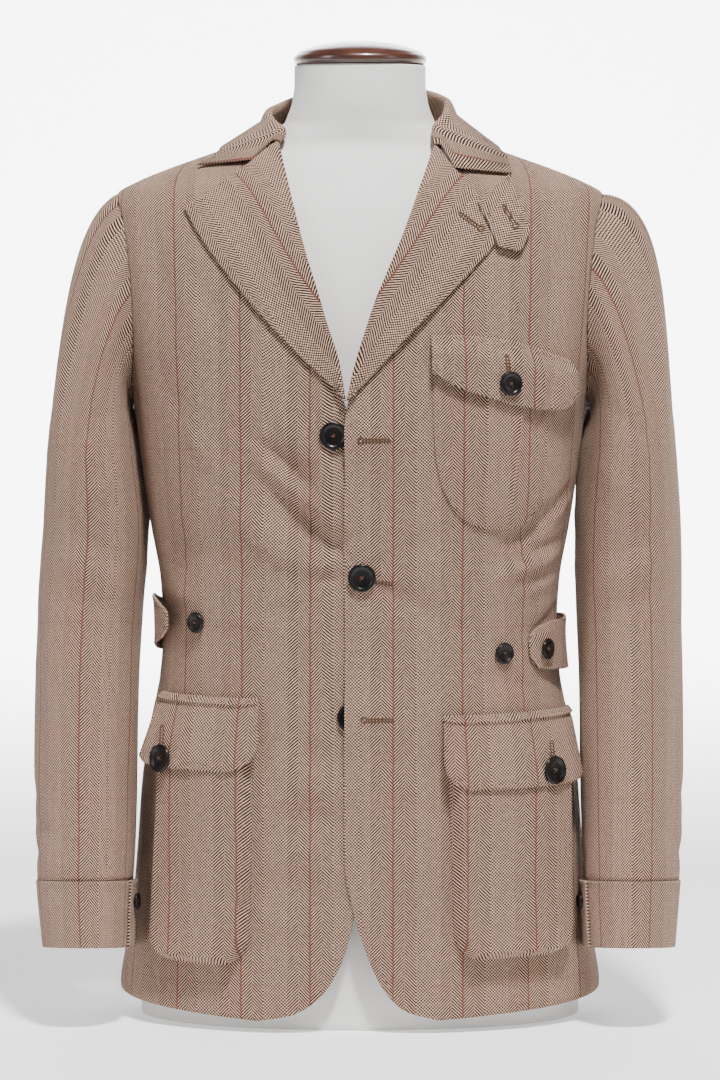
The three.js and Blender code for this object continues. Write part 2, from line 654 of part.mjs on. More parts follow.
// Joins the doubled vertices of a lathe, so that it is one closed body.
function weld(geometry) {
  const seen = new Map();
  const kept = [];
  const position = geometry.attributes.position;
  const index = Array.from(geometry.index.array, (i) => {
    const point = [position.getX(i), position.getY(i), position.getZ(i)];
    const key = point.map((value) => Math.round(value * 1000)).join();
    if (!seen.has(key)) {
      seen.set(key, seen.size);
      kept.push(...point);
    }
    return seen.get(key);
  });
  const faces = [];
  for (let f = 0; f < index.length; f += 3) {
    const [a, b, c] = index.slice(f, f + 3);
    if (a !== b && b !== c && c !== a) faces.push(a, b, c);
  }
  const welded = new THREE.BufferGeometry();
  welded.setAttribute('position', new THREE.Float32BufferAttribute(kept, 3));
  welded.setIndex(faces);
  welded.computeVertexNormals();
  return welded;
}

function button(name, diameter, point, normal, thick = 3.6) {
  const mesh = addMesh(name, buttonGeometry(diameter, thick), HORN);
  mesh.position.copy(point);
  mesh.quaternion.setFromUnitVectors(new THREE.Vector3(0, 1, 0), normal.clone().normalize());
  return mesh;
}

// A button on the body cloth, with its underside lifted above it.
function buttonOn(name, diameter, x, z, lift) {
  const q = roundOfX(x, z);
  button(name, diameter, above(q, z, lift), clothNormal(q, z));
}

buttonOn('front_button_1', 23.5, -22, TOP_BUTTON, 0.6);
buttonOn('front_button_2', 23.5, 1.5, MIDDLE_BUTTON, CLOTH + 1.7);
buttonOn('front_button_3', 23.5, -7.5, BOTTOM_BUTTON, 0.6);


// ---------------------------------------------------------------- collar
// Half collar from the centre back to the last station before its front end: where its neck seam and
// its roll run, and where the edge of its leaf lies on the body. dip: how much lower it rolls on the right.
const COLLAR = table(['neck', 'rollQ', 'rollZ', 'dip', 'edgeQ', 'edgeZ', 'lift'], [
  [2, 2, 796, 0, 2, 748, 2.8],
  [1.75, 1.75, 795, 2, 1.72, 746, 2.2],
  [1.5, 1.5, 792, 5, 1.46, 743, 1.8],
  [1.25, 1.26, 787, 8, 1.22, 740.5, 1.2],
  [1, 0.98, 779, 8, 0.98, 739, 1.8],
  [0.86, 0.78, 768, 5, 0.84, 736, 2.4],
  [0.68, 0.58, 755, 2, 0.75, 730, 3],
]);
const COLLAR_LEAF = [0.3, 0.55, 0.78, 1];
const LEAF_BULGE = 1.2;
const STAND = [0, 0.5, 1];
const COLLAR_TURN = table(['down', 'high'], [[0.7, 0.1], [0, 2], [1, 4], [4.2, 5]]);

function collarStation(side, { neck, rollQ, rollZ: fullZ, dip, edgeQ, edgeZ, lift }) {
  const seamZ = neckSeam(neck) + 0.3;
  const rollZ = side > 0 ? fullZ : fullZ - dip;
  const bulge = side > 0 ? LEAF_BULGE : 0;
  const stand = STAND.map((t) => above(side * mix(neck, rollQ, t), mix(seamZ, rollZ - 3, t), -CLOTH / 2));
  const turn = COLLAR_TURN.map((row) => above(side * rollQ, rollZ - row.down, row.high));
  const { down, high } = COLLAR_TURN[COLLAR_TURN.length - 1];
  const leaf = COLLAR_LEAF.map((t) => {
    const rise = mix(high, lift + CLOTH / 2, t) + bulge * Math.sin(Math.PI * t);
    return above(side * mix(rollQ, edgeQ, t), mix(rollZ - down, edgeZ, t), rise);
  });
  return [...stand, ...turn, ...leaf];
}

// The front end: the gorge seam with the lapel, then the end of the leaf from the notch to its tip.
function collarEnd(side, gorge, lift) {
  const [x, z] = gorge.roll;
  const at = ([wide, tall], high) => above(side * roundOfX(wide, tall), tall, lift + high);
  const stand = STAND.map((t) => at([x + 5 - 3 * t, z + 1.2 * t], -0.9));
  const turn = [at([x, z + 0.6], 1.2), at([x - 0.6, z + 0.6], 2.8), at([x + 0.4, z + 0.6], 4.4),
    at([x + 4, z], leafHeight(0, 1.2))];
  const leaf = COLLAR_LEAF.map((t) => {
    const u = t < NOTCH_AT ? t / NOTCH_AT : (t - NOTCH_AT) / (1 - NOTCH_AT);
    const [from, to] = t < NOTCH_AT ? [gorge.roll, gorge.notch] : [gorge.notch, gorge.collarTip];
    return at([mix(from[0], to[0], u), mix(from[1], to[1], u) + 0.5], leafHeight(t, 2));
  });
  return [...stand, ...turn, ...leaf];
}

function collarHalf(side, gorge) {
  return [...COLLAR.map((row) => collarStation(side, row)), collarEnd(side, gorge, 0.9)];
}

const leftCollar = collarHalf(1, LEFT_GORGE);
const rightCollar = collarHalf(-1, RIGHT_GORGE);
addRolled('collar', [...leftCollar.slice(1).reverse(), ...rightCollar]);

// ---------------------------------------------------------------- throat tab
const TAB_WIDE = 29;
const TAB_FROM = [110.5, 702];
const TAB_TIP = [131.5, 652];
const TAB_ROWS = [0, 0.18, 0.4, 0.62, 0.8, 1];

function throatTab() {
  const along = new THREE.Vector2(TAB_TIP[0] - TAB_FROM[0], TAB_TIP[1] - TAB_FROM[1]);
  const across = new THREE.Vector2(-along.y, along.x).normalize();
  const place = (u, v) => {
    const slant = (1 - v) * 5.5 * u;
    const wide = TAB_WIDE * (v < 0.8 ? 1 : mix(1, 0.14, (v - 0.8) / 0.2));
    const x = TAB_FROM[0] + along.x * v + across.x * u * wide / 2;
    const z = TAB_FROM[1] + along.y * v + across.y * u * wide / 2 + slant;
    return [roundOfX(x, z), z];
  };
  layPiece('throat_tab', TAB_ROWS, [-1, -0.5, 0, 0.5, 1], place, (u, v) => mix(5, 4.4, v));
}

throatTab();

// ---------------------------------------------------------------- chest pocket and flap
const CHEST_POCKET = table(['z', 'inner', 'from', 'to', 'outer'], [
  [556, 61, 104.4, 137.7, 155.5],
  [524, 60.5, 103.5, 136, 155.5],
  [489, 62, 102, 131.5, 155],
  [464, 66, 100.6, 128.5, 153.5],
  [445, 73.5, 99.8, 126, 150.5],
  [432, 84, 99.6, 124, 145],
  [425, 95, 102, 122, 138.5],
  [421, 109, 112, 121, 130],
]);
const PLEAT_FROM = 0.385;     // columns at which the pleat's two folds lie
const PLEAT_TO = 0.635;
const PLEAT_RISE = 2;
const CHEST_COLUMNS = [0, 0.1, 0.22, 0.37, 0.4, 0.62, 0.65, 0.8, 0.9, 1];

function chestX(u, z) {
  const at = (name) => column(CHEST_POCKET, name, z);
  if (u < PLEAT_FROM) return mix(at('inner'), at('from'), u / PLEAT_FROM);
  if (u > PLEAT_TO) return mix(at('to'), at('outer'), (u - PLEAT_TO) / (1 - PLEAT_TO));
  return mix(at('from'), at('to'), (u - PLEAT_FROM) / (PLEAT_TO - PLEAT_FROM));
}

layPiece('chest_pocket', CHEST_POCKET.map(({ z }) => z), CHEST_COLUMNS, (u, z) => {
  const x = chestX(u, z);
  return [roundOfX(x, z), z];
}, (u, z) => {
  const pleat = u > PLEAT_FROM && u < PLEAT_TO ? PLEAT_RISE * smooth((z - 424) / 12) : 0;
  return 0.45 + pleat + 1.2 * Math.sin(Math.PI * u) * smooth((z - 430) / 60);
});

// Flap outline across its width: top seam and lower edge.
const CHEST_FLAP = table(['x', 'top', 'low'], [
  [58.5, 583, 553],
  [64, 583, 549],
  [76, 583, 542],
  [90, 582.5, 536],
  [108, 581, 530.5],
  [125, 578, 525.5],
  [142, 574, 521.8],
  [156, 569, 520],
  [167, 565, 521.5],
  [174, 562.5, 528],
  [177, 561, 536],
]);

layPiece('chest_flap', [0, 0.12, 0.3, 0.55, 0.8, 1], CHEST_FLAP.map(({ x }) => x), (x, v) => {
  const z = mix(column(CHEST_FLAP, 'top', x, 'x'), column(CHEST_FLAP, 'low', x, 'x'), v);
  return [roundOfX(x, z), z];
}, (x, v) => mix(0.5, 6.6, smooth(v * 2.6)) + (v === 0 ? 0 : 0.6));

buttonOn('chest_button', 20.5, 121, 543, 9.6);

// ---------------------------------------------------------------- bellows pockets and flaps
const BELLOWS = 12;           // how far a patch pocket stands off the front
const GUSSET = 7;             // width over which its edge rises
const POCKET_CORNER = 23;
const FLAP_DROP = 62;
const FLAP_CORNER = { inner: 25, outer: 8 };
const MOUTH = 14;             // from the flap's seam down to the pocket's mouth
const POCKETS = {
  left: {
    side: 1, seam: 266, bottom: 61, inner: [72, 79], outer: [171.5, 175], flare: 0, buttonAt: [152, 216],
  },
  right: {
    side: -1, seam: 280, bottom: 56, inner: [87, 94], outer: [162, 174], flare: 6, buttonAt: [155, 225],
  },
};

const mouthShare = (below) => Math.min(1, (below + 3) / 60);

function bellowsPocket(word, { side, seam, bottom, inner, outer }) {
  const top = seam - MOUTH;
  const heights = [0, 0.015, 0.04, 0.09, 0.17, 0.32, 0.5, 0.68, 0.84, 0.93, 1];
  const shares = [0, 0.022, 0.055, 0.12, 0.25, 0.42, 0.6, 0.77, 0.89, 0.945, 0.978, 1];
  const edges = (z) => {
    const t = (seam - z) / (seam - bottom);
    const up = Math.min(POCKET_CORNER, z - bottom);
    const corner = POCKET_CORNER - Math.sqrt(POCKET_CORNER ** 2 - (POCKET_CORNER - up) ** 2);
    return [mix(inner[0], inner[1], t) + corner, mix(outer[0], outer[1], t) - corner * 0.8];
  };
  layPiece(`pocket_${word}`, heights.map((v) => mix(bottom, top, v)), shares, (u, z) => {
    const [from, to] = edges(z);
    return [side * roundOfX(mix(from, to, u), z), z];
  }, (u, z) => {
    const [from, to] = edges(z);
    const fromEdge = Math.min(u * (to - from), (1 - u) * (to - from) * 1.25, z - bottom);
    return 0.45 + BELLOWS * smooth(fromEdge / GUSSET) * mouthShare(seam - z);
  });
}

function pocketFlap(word, { side, seam, bottom, inner, outer, flare, buttonAt }) {
  const shares = [0, 0.02, 0.06, 0.12, 0.19, 0.27, 0.4, 0.55, 0.7, 0.85, 0.93, 0.98, 1];
  const drops = [0, 0.03, 0.1, 0.125, 0.25, 0.4, 0.6, 0.8, 1];
  const BAND = 0.11;
  const short = (away, corner) => {
    const into = Math.max(0, corner - away);
    return corner - Math.sqrt(Math.max(0, corner ** 2 - into ** 2));
  };
  const lowEdge = (u) => {
    const wide = outer[0] - inner[0] + 8;
    return FLAP_DROP - short(u * wide, FLAP_CORNER.inner) - short((1 - u) * wide, FLAP_CORNER.outer);
  };
  const height = (u, v) => {
    const below = v * lowEdge(u);
    const band = v > 0.02 && v < BAND ? 1.6 : 0;
    return mix(0.45, 3.4, smooth(below / 8)) + BELLOWS * mouthShare(below) + band;
  };
  const place = (u, v) => {
    const z = seam - v * lowEdge(u);
    const t = (seam - z) / (seam - bottom);
    const x = mix(mix(inner[0], inner[1], t) - 3 - 3 * v, mix(outer[0], outer[1], t) + 2 + flare * v, u);
    return [side * roundOfX(x, z), z];
  };
  layPiece(`pocket_flap_${word}`, drops, shares, place, height);
  const [x, z] = buttonAt;
  buttonOn(`flap_button_${word}`, 24, side * x, z, 3.4 + BELLOWS * mouthShare(seam - z) + CLOTH + 0.6);
}

for (const [word, pocket] of Object.entries(POCKETS)) {
  bellowsPocket(word, pocket);
  pocketFlap(word, pocket);
}

// ---------------------------------------------------------------- waist tabs
// Stations from the sewn rear end to the free end: quarters round, lift, centre height and half width.
const TAB_COLUMNS = [-1, -0.6, 0, 0.6, 1];
const LEFT_TAB = table(['q', 'lift', 'z', 'half'], [
  [1.3, 0.6, 318, 22],
  [1.15, 2.5, 318, 22.5],
  [1.02, 5.5, 318.5, 23],
  [0.9, 6, 318.5, 22],
  [0.78, 3.6, 318, 20],
  [0.7, 2, 318, 17.5],
  [0.665, 1.4, 318, 12],
  [0.65, 1.2, 318, 6],
]);
const RIGHT_TAB = table(['q', 'lift', 'z', 'half'], [
  [1.3, 0.6, 328, 22],
  [1.15, 2.5, 330, 22.5],
  [1.03, 3.6, 334, 23],
  [0.93, 5, 338, 23],
  [0.85, 8.6, 341, 22],
  [0.77, 14, 343, 20],
  [0.72, 15.2, 344, 14],
  [0.7, 15.6, 344, 7],
]);

function waistTab(name, side, rows) {
  const first = rows[0].q;
  const stations = [...steps(9, first, rows[4].q), ...rows.slice(5).map(({ q }) => q)];
  const at = (name_, q) => column(rows, name_, q, 'q');
  layPiece(name, stations, TAB_COLUMNS, (u, q) => [side * q, at('z', q) + u * at('half', q)],
    (u, q) => at('lift', q), 2.2);
}

waistTab('waist_tab_left', 1, LEFT_TAB);
waistTab('waist_tab_right', -1, RIGHT_TAB);
button('waist_button_left_1', 18, above(0.725, 317, 5.8), clothNormal(0.74, 317), 3.4);
buttonOn('waist_button_left_2', 18, 120, 316, 0.6);
buttonOn('waist_button_right', 18, -137, 341, 0.6);

// ---------------------------------------------------------------- cuff buttons
for (const [word, side] of [['left', 1], ['right', -1]]) {
  const turn = 0.47;
  const height = 103;
  const point = sleeveRing(side, turn, height, CLOTH + 2.2);
  const out = sleeveRing(side, turn, height, 10).sub(sleeveRing(side, turn, height, 0));
  point.x *= side;
  out.x *= side;
  button(`cuff_button_${word}`, 14, point, out, 3);
}

// ---------------------------------------------------------------- dress form
// The form follows the body surface from inside, with closed round shoulders and a flat underside.
const FORM = table(['z', 'inset'], [
  [0, 20],
  [60, 18],
  [150, 16],
  [250, 13],
  [330, 12],
  [420, 11],
  [524, 10],
  [620, 9],
  [680, 6.5],
  [700, 5.2],
  [726, 6.5],
  [740, 8.5],
  [752, 9],
]);
const FORM_HEIGHTS = [0, 50, 120, 200, 270, 330, 390, 460, 530, 590, 640, 672, 694, 706, 716, 727, 738, 748];
const FORM_NECK = table(['z', 'half', 'front', 'back'], [
  [762, 64, 50, 55],
  [779, 58, 53, 54.5],
  [796, 56, 54, 54],
  [810, 56, 54, 54],
]);
const FORM_STEPS = 30;
const CAP_RISE = 21;

function formBody() {
  const rounds = steps(FORM_STEPS, -2, 2).slice(0, -1);
  const bodyRings = FORM_HEIGHTS.map((z) => rounds.map((q) => {
    const point = bodyPoint(q, z).addScaledVector(bodyNormal(q, z), -column(FORM, 'inset', z));
    if (z === 0) point.z = 0;
    return point;
  }));
  const neckRings = FORM_NECK.map(({ z, half, front, back }) => rounds.map((q) => {
    const angle = (q * Math.PI) / 2;
    const y = -Math.cos(angle);
    return new THREE.Vector3(half * Math.sin(angle), y < 0 ? y * front : y * back, z);
  }));
  return [...bodyRings, ...neckRings];
}

// Solid closed by a flat fan at each end.
function solidOfRings(name, sections, finish) {
  const cols = sections[0].length;
  const middle = (row) => row.reduce((sum, p) => sum.add(p), new THREE.Vector3()).divideScalar(cols);
  const points = [...sections.flat(), middle(sections[0]), middle(sections[sections.length - 1])];
  const faces = [];
  const at = (i, j) => i * cols + (j % cols);
  const lastRow = sections.length - 1;
  for (let j = 0; j < cols; j += 1) {
    for (let i = 0; i < lastRow; i += 1) {
      faces.push(at(i, j), at(i, j + 1), at(i + 1, j + 1), at(i, j), at(i + 1, j + 1), at(i + 1, j));
    }
    faces.push(points.length - 2, at(0, j + 1), at(0, j));
    faces.push(points.length - 1, at(lastRow, j), at(lastRow, j + 1));
  }
  const geometry = new THREE.BufferGeometry();
  geometry.setAttribute('position', new THREE.Float32BufferAttribute(points.flatMap((p) => p.toArray()), 3));
  geometry.setIndex(faces);
  geometry.computeVertexNormals();
  return addMesh(name, geometry, finish);
}

solidOfRings('form_body', formBody(), COVER);

const CAP_PROFILE = [[0, 0], [54, 0], [56.5, 2], [57, 5], [55.5, 9], [51.5, 11.6], [44, 14.8], [32, 18],
  [17, 20.2], [0, CAP_RISE]];
const capProfile = CAP_PROFILE.map(([x, y]) => new THREE.Vector2(x, y));
const cap = addMesh('form_cap', weld(new THREE.LatheGeometry(capProfile, 28)), WALNUT);
cap.rotation.x = Math.PI / 2;
cap.position.set(0, 0, 810.3);

// The origin is the middle of the footprint, at the level that the form stands on.
const footprint = new THREE.Box3().setFromObject(group);
group.position.y = -(footprint.min.y + footprint.max.y) / 2;

export default group;
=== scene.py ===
import math
import bpy
import numpy as np
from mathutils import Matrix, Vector
from mathutils.bvhtree import BVHTree


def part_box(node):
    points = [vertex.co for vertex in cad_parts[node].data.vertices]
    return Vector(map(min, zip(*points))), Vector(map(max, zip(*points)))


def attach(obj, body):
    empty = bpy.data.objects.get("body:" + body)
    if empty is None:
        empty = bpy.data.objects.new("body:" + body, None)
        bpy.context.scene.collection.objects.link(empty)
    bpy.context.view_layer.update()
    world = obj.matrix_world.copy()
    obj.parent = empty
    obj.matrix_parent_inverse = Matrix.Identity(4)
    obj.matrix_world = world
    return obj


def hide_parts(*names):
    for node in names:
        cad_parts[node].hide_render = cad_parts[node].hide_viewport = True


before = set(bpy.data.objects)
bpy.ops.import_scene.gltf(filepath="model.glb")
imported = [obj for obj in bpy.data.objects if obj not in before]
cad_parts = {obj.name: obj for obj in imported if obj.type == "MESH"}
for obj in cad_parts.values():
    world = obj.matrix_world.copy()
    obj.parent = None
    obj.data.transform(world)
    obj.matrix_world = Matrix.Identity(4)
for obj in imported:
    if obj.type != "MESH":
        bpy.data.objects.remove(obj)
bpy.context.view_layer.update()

# Safari jacket in herringbone wool, hanging open-necked on a limbless dress form.
# The chest faces -Y and the wearer's left is +X. Tailoring tables are in millimetres; MM makes them metres.

# ---------------------------------------------------------------- camera, lights and floor
# A long lens at the height of the chest looks a little down. A lamp high in front throws the shadows
# down, weaker ones stand at the sides, and the floor is pale card that sweeps up behind. The card also
# glows with its own colour: painted light that keeps it near white and lights the jacket from below.
MM = 0.001
low, high = (np.array(corner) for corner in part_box("form_cap"))
MIDDLE = np.array([(low[0] + high[0]) / 2, (low[1] + high[1]) / 2, 0])     # axis of the form, in metres
EYE = (0, -3.6, 0.653)
LOOK_AT = (0, 0, 0.405)
LENS, FILM = 140, 36


def aim(thing, start, end):
    """Puts a camera or lamp at start, turned so that its -Z looks at end."""
    thing.location = Vector(start) + Vector(MIDDLE)
    thing.rotation_euler = (Vector(end) - Vector(start)).to_track_quat("-Z", "Y").to_euler()
    bpy.context.scene.collection.objects.link(thing)


camera = bpy.data.objects.new("camera", bpy.data.cameras.new("camera"))
camera.data.lens = LENS
camera.data.sensor_fit = "VERTICAL"
camera.data.sensor_height = FILM
camera.data.clip_end = 60
aim(camera, EYE, LOOK_AT)
bpy.context.scene.camera = camera

LAMPS = [  # name, place, aim, width, height, watts
    ("key_lamp", (0.5, -1.7, 3.6), (0, 0, 0.42), 0.5, 0.4, 275),
    ("left_lamp", (-2.6, -1.6, 1.5), (0, 0, 0.42), 0.8, 1.6, 30),
    ("right_lamp", (2.6, -1.8, 1.3), (0, 0, 0.42), 0.8, 1.6, 12),
    ("back_lamp", (0.3, 2.6, 2.4), (0, 0, 0.5), 1.8, 1.4, 16),
    ("backdrop_lamp", (0, 2.6, 3.6), (0, 7.5, 1.2), 5, 1.5, 1900),
]
for name, place, target, width, height, watts in LAMPS:
    lamp = bpy.data.lights.new(name, "AREA")
    lamp.shape, lamp.size, lamp.size_y, lamp.energy = "RECTANGLE", width, height, watts
    aim(bpy.data.objects.new(name, lamp), place, target)

world = bpy.data.worlds.new("studio")
world.use_nodes = True
world.node_tree.nodes["Background"].inputs["Color"].default_value = (0.97, 0.975, 0.98, 1)
world.node_tree.nodes["Background"].inputs["Strength"].default_value = 0.12
bpy.context.scene.world = world


class Wire:
    """A socket that can be written into an expression. Each operator adds one Math node to the finish."""

    def __init__(self, finish, socket):
        self.finish, self.socket = finish, socket

    def math(self, operation, *values, clamp=False):
        return self.finish.node("ShaderNodeMath", {"operation": operation, "use_clamp": clamp},
                                dict(enumerate(values)))

    def __add__(self, other): return self.math("ADD", self, other)
    def __radd__(self, other): return self.math("ADD", other, self)
    def __sub__(self, other): return self.math("SUBTRACT", self, other)
    def __rsub__(self, other): return self.math("SUBTRACT", other, self)
    def __mul__(self, other): return self.math("MULTIPLY", self, other)
    def __rmul__(self, other): return self.math("MULTIPLY", other, self)
    def __truediv__(self, other): return self.math("DIVIDE", self, other)
    def __rtruediv__(self, other): return self.math("DIVIDE", other, self)
    def __lt__(self, other): return self.math("LESS_THAN", self, other)
    def __gt__(self, other): return self.math("GREATER_THAN", self, other)
    def __abs__(self): return self.math("ABSOLUTE", self)
    def floor(self): return self.math("FLOOR", self)
    def fract(self): return self.math("FRACT", self)
    def sin(self): return self.math("SINE", self)
    def clamped(self): return self.math("ADD", self, 0, clamp=True)

    def near(self, middle, width):
        """1 at the middle, falling straight to 0 at width from it."""
        return (1 - abs(self - middle) / width).clamped()


class Finish:
    """A material: its Principled shader, and the nodes that vary it over the surface."""

    def __init__(self, name, **constants):
        self.material = bpy.data.materials.new(name)
        self.material.use_nodes = True
        self.tree = self.material.node_tree
        self.shader = self.tree.nodes["Principled BSDF"]
        for socket, value in constants.items():
            self.shader.inputs[socket.replace("_", " ")].default_value = value

    def node(self, kind, settings=None, sockets=None, out=0):
        """Adds a node: its settings, then the values or wires of its sockets; gives its output."""
        made = self.tree.nodes.new(kind)
        for name, value in (settings or {}).items():
            setattr(made, name, value)
        for name, value in (sockets or {}).items():
            if isinstance(value, Wire):
                self.tree.links.new(value.socket, made.inputs[name])
            else:
                made.inputs[name].default_value = value
        return Wire(self, made.outputs[out])

    def mix(self, share, first, second):
        """Colour that goes from first at share 0 to second at share 1."""
        colours = [value if isinstance(value, Wire) else (*value, 1) for value in (first, second)]
        return self.node("ShaderNodeMix", {"data_type": "RGBA"},
                         {0: share, 6: colours[0], 7: colours[1]}, out=2)

    def noise(self, place, scale, detail=2.0, stretch=None):
        """Noise from 0 to 1; scale is how many lumps fit in a metre, after place is stretched."""
        if stretch:
            place = self.node("ShaderNodeVectorMath", {"operation": "MULTIPLY"}, {0: place, 1: stretch})
        return self.node("ShaderNodeTexNoise", {}, {"Vector": place, "Scale": scale, "Detail": detail})

    def object_place(self):
        return self.node("ShaderNodeTexCoord", out=3)

    def bump(self, height, depth):
        """Feeds the normal from a height of 0 to 1, depth metres deep."""
        normal = self.node("ShaderNodeBump", {}, {"Height": height, "Distance": depth, "Strength": 1.0})
        self.feed("Normal", normal)

    def feed(self, socket, wire):
        self.tree.links.new(wire.socket, self.shader.inputs[socket])
        return self


CARD_HALF, CARD_BACK, CARD_TOP = 14, 8, 7       # metres to its sides and front, to its back, and its height
CARD_BEND = 4                   # radius of the sweep
CARD_SINK = 0.0005              # how far it lies under the foot of the form
CARD_FADE, CARD_FADE_LENGTH = -1.5, 1.1         # where the card in front goes from grey to white, along y
# The card glows at 0.55 of its own colour, grey in front and white further back: painted light, not a lamp.
card = Finish("glowing_pale_card", Specular_IOR_Level=0.2, Emission_Strength=0.55)
grain = card.noise(card.object_place(), 60)
depth = card.node("ShaderNodeSeparateXYZ", {}, {0: card.object_place()})
near = ((Wire(card, depth.socket.node.outputs[1]) - CARD_FADE) / CARD_FADE_LENGTH).clamped()
tone = card.mix(near, (0.25, 0.25, 0.25), card.mix(grain, (0.9, 0.9, 0.9), (0.93, 0.93, 0.93)))
card.feed("Base Color", tone)
card.feed("Emission Color", tone)
card.feed("Roughness", grain * 0.1 + 0.8)


def make_mesh(name, points, faces, finish, uv=None, values=None):
    """A smooth-shaded piece from points in metres and faces; uv and values are one for each point."""
    mesh = bpy.data.meshes.new(name)
    mesh.from_pydata(points.tolist(), [], faces.tolist() if hasattr(faces, "tolist") else faces)
    mesh.polygons.foreach_set("use_smooth", np.ones(len(mesh.polygons), bool))
    corners = np.empty(len(mesh.loops), np.int32)
    mesh.loops.foreach_get("vertex_index", corners)
    if uv is not None:
        mesh.uv_layers.new(name="cut").data.foreach_set("uv", uv[corners].ravel())
    for word, value in (values or {}).items():
        mesh.attributes.new(word, "FLOAT", "POINT").data.foreach_set("value", np.ravel(value))
    mesh.materials.append(finish.material)
    mesh.update()
    piece = bpy.data.objects.new(name, mesh)
    bpy.context.scene.collection.objects.link(piece)
    return piece


bend = np.linspace(0, math.pi / 2, 25)
profile = np.concatenate([[[-CARD_HALF, 0]], np.stack([CARD_BACK - CARD_BEND + CARD_BEND * np.sin(bend),
                                                      CARD_BEND - CARD_BEND * np.cos(bend)], -1),
                          [[CARD_BACK, CARD_TOP]]])
ends = np.array([[side * CARD_HALF, y, z - CARD_SINK] for side in (-1, 1) for y, z in profile])
count = len(profile)
strips = np.array([[k, k + count, k + count + 1, k + 1] for k in range(count - 1)])
floor = make_mesh("floor", ends, strips, card)

# ---------------------------------------------------------------- dress form
# A limbless fibreglass form under a stretched off-white jersey cover, seamed down the middle of the
# front and back. It carries the jacket by the shoulders, and its shape gives the jacket its own.


def table(names, rows):
    """A table with named columns, each an array."""
    return dict(zip(names.split(), np.array(rows, float).T))


def through(rows, name, at, key="z"):
    """Column of a table at given keys, by a cubic that never overshoots its rows.

    The slope at a row is the harmonic mean of the slopes on either side, or 0 where they differ in sign.
    """
    keys, values = rows[key], rows[name]
    if keys[0] > keys[-1]:
        keys, values = keys[::-1], values[::-1]
    slope = np.diff(values) / np.diff(keys)
    product = slope[:-1] * slope[1:]
    total = np.where(product > 0, slope[:-1] + slope[1:], 1)
    tangent = np.concatenate([slope[:1], np.where(product > 0, 2 * product / total, 0), slope[-1:]])
    i = np.clip(np.searchsorted(keys, at, "left") - 1, 0, len(keys) - 2)
    width = keys[i + 1] - keys[i]
    t = np.clip((at - keys[i]) / width, 0, 1)
    rise = t * t * (3 - 2 * t)
    return (values[i] * (1 - rise) + values[i + 1] * rise
            + width * (t * (1 - t) ** 2 * tangent[i] - t * t * (1 - t) * tangent[i + 1]))


def smooth(t):
    """S curve from 0 at t 0 to 1 at t 1, flat beyond."""
    t = np.clip(t, 0, 1)
    return t * t * (3 - 2 * t)


def mix(a, b, t):
    return a + (b - a) * t


def unit(vectors):
    return vectors / np.maximum(np.linalg.norm(vectors, axis=-1, keepdims=True), 1e-9)


# Ring sections of the body: half width, depth in front of and behind the side line, squareness.
BODY = table("z half front back square", [
    [0, 209, 130, 120, 2.35],
    [24, 207, 129, 119, 2.35],
    [52, 203, 128, 118, 2.35],
    [88, 197, 127, 117, 2.35],
    [140, 192, 126, 116, 2.35],
    [200, 187.5, 124, 114, 2.35],
    [250, 180, 121, 111, 2.35],
    [290, 172, 118, 107, 2.35],
    [330, 169, 117, 104, 2.35],
    [370, 171, 118, 104, 2.35],
    [420, 179.5, 121, 108, 2.35],
    [470, 187, 124, 113, 2.35],
    [524, 193.5, 125, 118, 2.35],
    [570, 201, 123, 120, 2.35],
    [620, 208, 117, 119, 2.3],
    [660, 211, 106, 113, 2.25],
    [688, 211, 93, 103, 2.2],
    [702, 207, 84, 95, 2.15],
    [712, 190, 77, 89, 2.1],
    [722, 166, 71, 83, 2.1],
    [732, 138, 65, 77, 2.05],
    [742, 110, 59, 72, 2],
    [753, 87, 54, 68, 2],
    [765, 78, 50, 64, 2],
    [780, 72.5, 47, 61, 2],
    [802, 68, 45, 59, 2],
])
HEIGHTS = np.linspace(0, BODY["z"][-1], 402)
ROUNDS = np.linspace(-2.2, 2.2, 881)        # quarters: 0 centre front, 1 side, 2 centre back
QUARTER_STEPS = np.linspace(0, math.pi / 2, 61)


def ring_quarters(depth_name):
    """Points and arc lengths of one quarter of every ring: half x sin^p, depth x cos^p, p = 2 / square."""
    half = through(BODY, "half", HEIGHTS)[:, None]
    depth = through(BODY, depth_name, HEIGHTS)[:, None]
    power = 2 / through(BODY, "square", HEIGHTS)[:, None]
    x = half * np.sin(QUARTER_STEPS) ** power
    y = depth * np.maximum(np.cos(QUARTER_STEPS), 0) ** power
    steps = np.hypot(np.diff(x, axis=1, prepend=0), np.diff(y, axis=1, prepend=y[:, :1]))
    return half, depth, power, np.cumsum(steps, axis=1)


FRONT_QUARTER, BACK_QUARTER = ring_quarters("front"), ring_quarters("back")


def body_points():
    """The body surface on the whole grid of heights and rounds, q going evenly by arc in each quarter."""
    wrapped = np.where(np.abs(ROUNDS) > 2, ROUNDS - 4 * np.sign(ROUNDS), ROUNDS)
    way = np.abs(wrapped)
    points = np.empty((len(HEIGHTS), len(ROUNDS), 3))
    for quarter, mine, share, sign in ((FRONT_QUARTER, way <= 1, way, -1),
                                       (BACK_QUARTER, way > 1, 2 - way, 1)):
        half, depth, power, lengths = quarter
        angle = np.array([np.interp(share[mine] * row[-1], row, QUARTER_STEPS) for row in lengths])
        points[:, mine, 0] = np.sign(wrapped[mine]) * half * np.sin(angle) ** power
        points[:, mine, 1] = sign * depth * np.maximum(np.cos(angle), 0) ** power
    points[..., 2] = HEIGHTS[:, None]
    return points


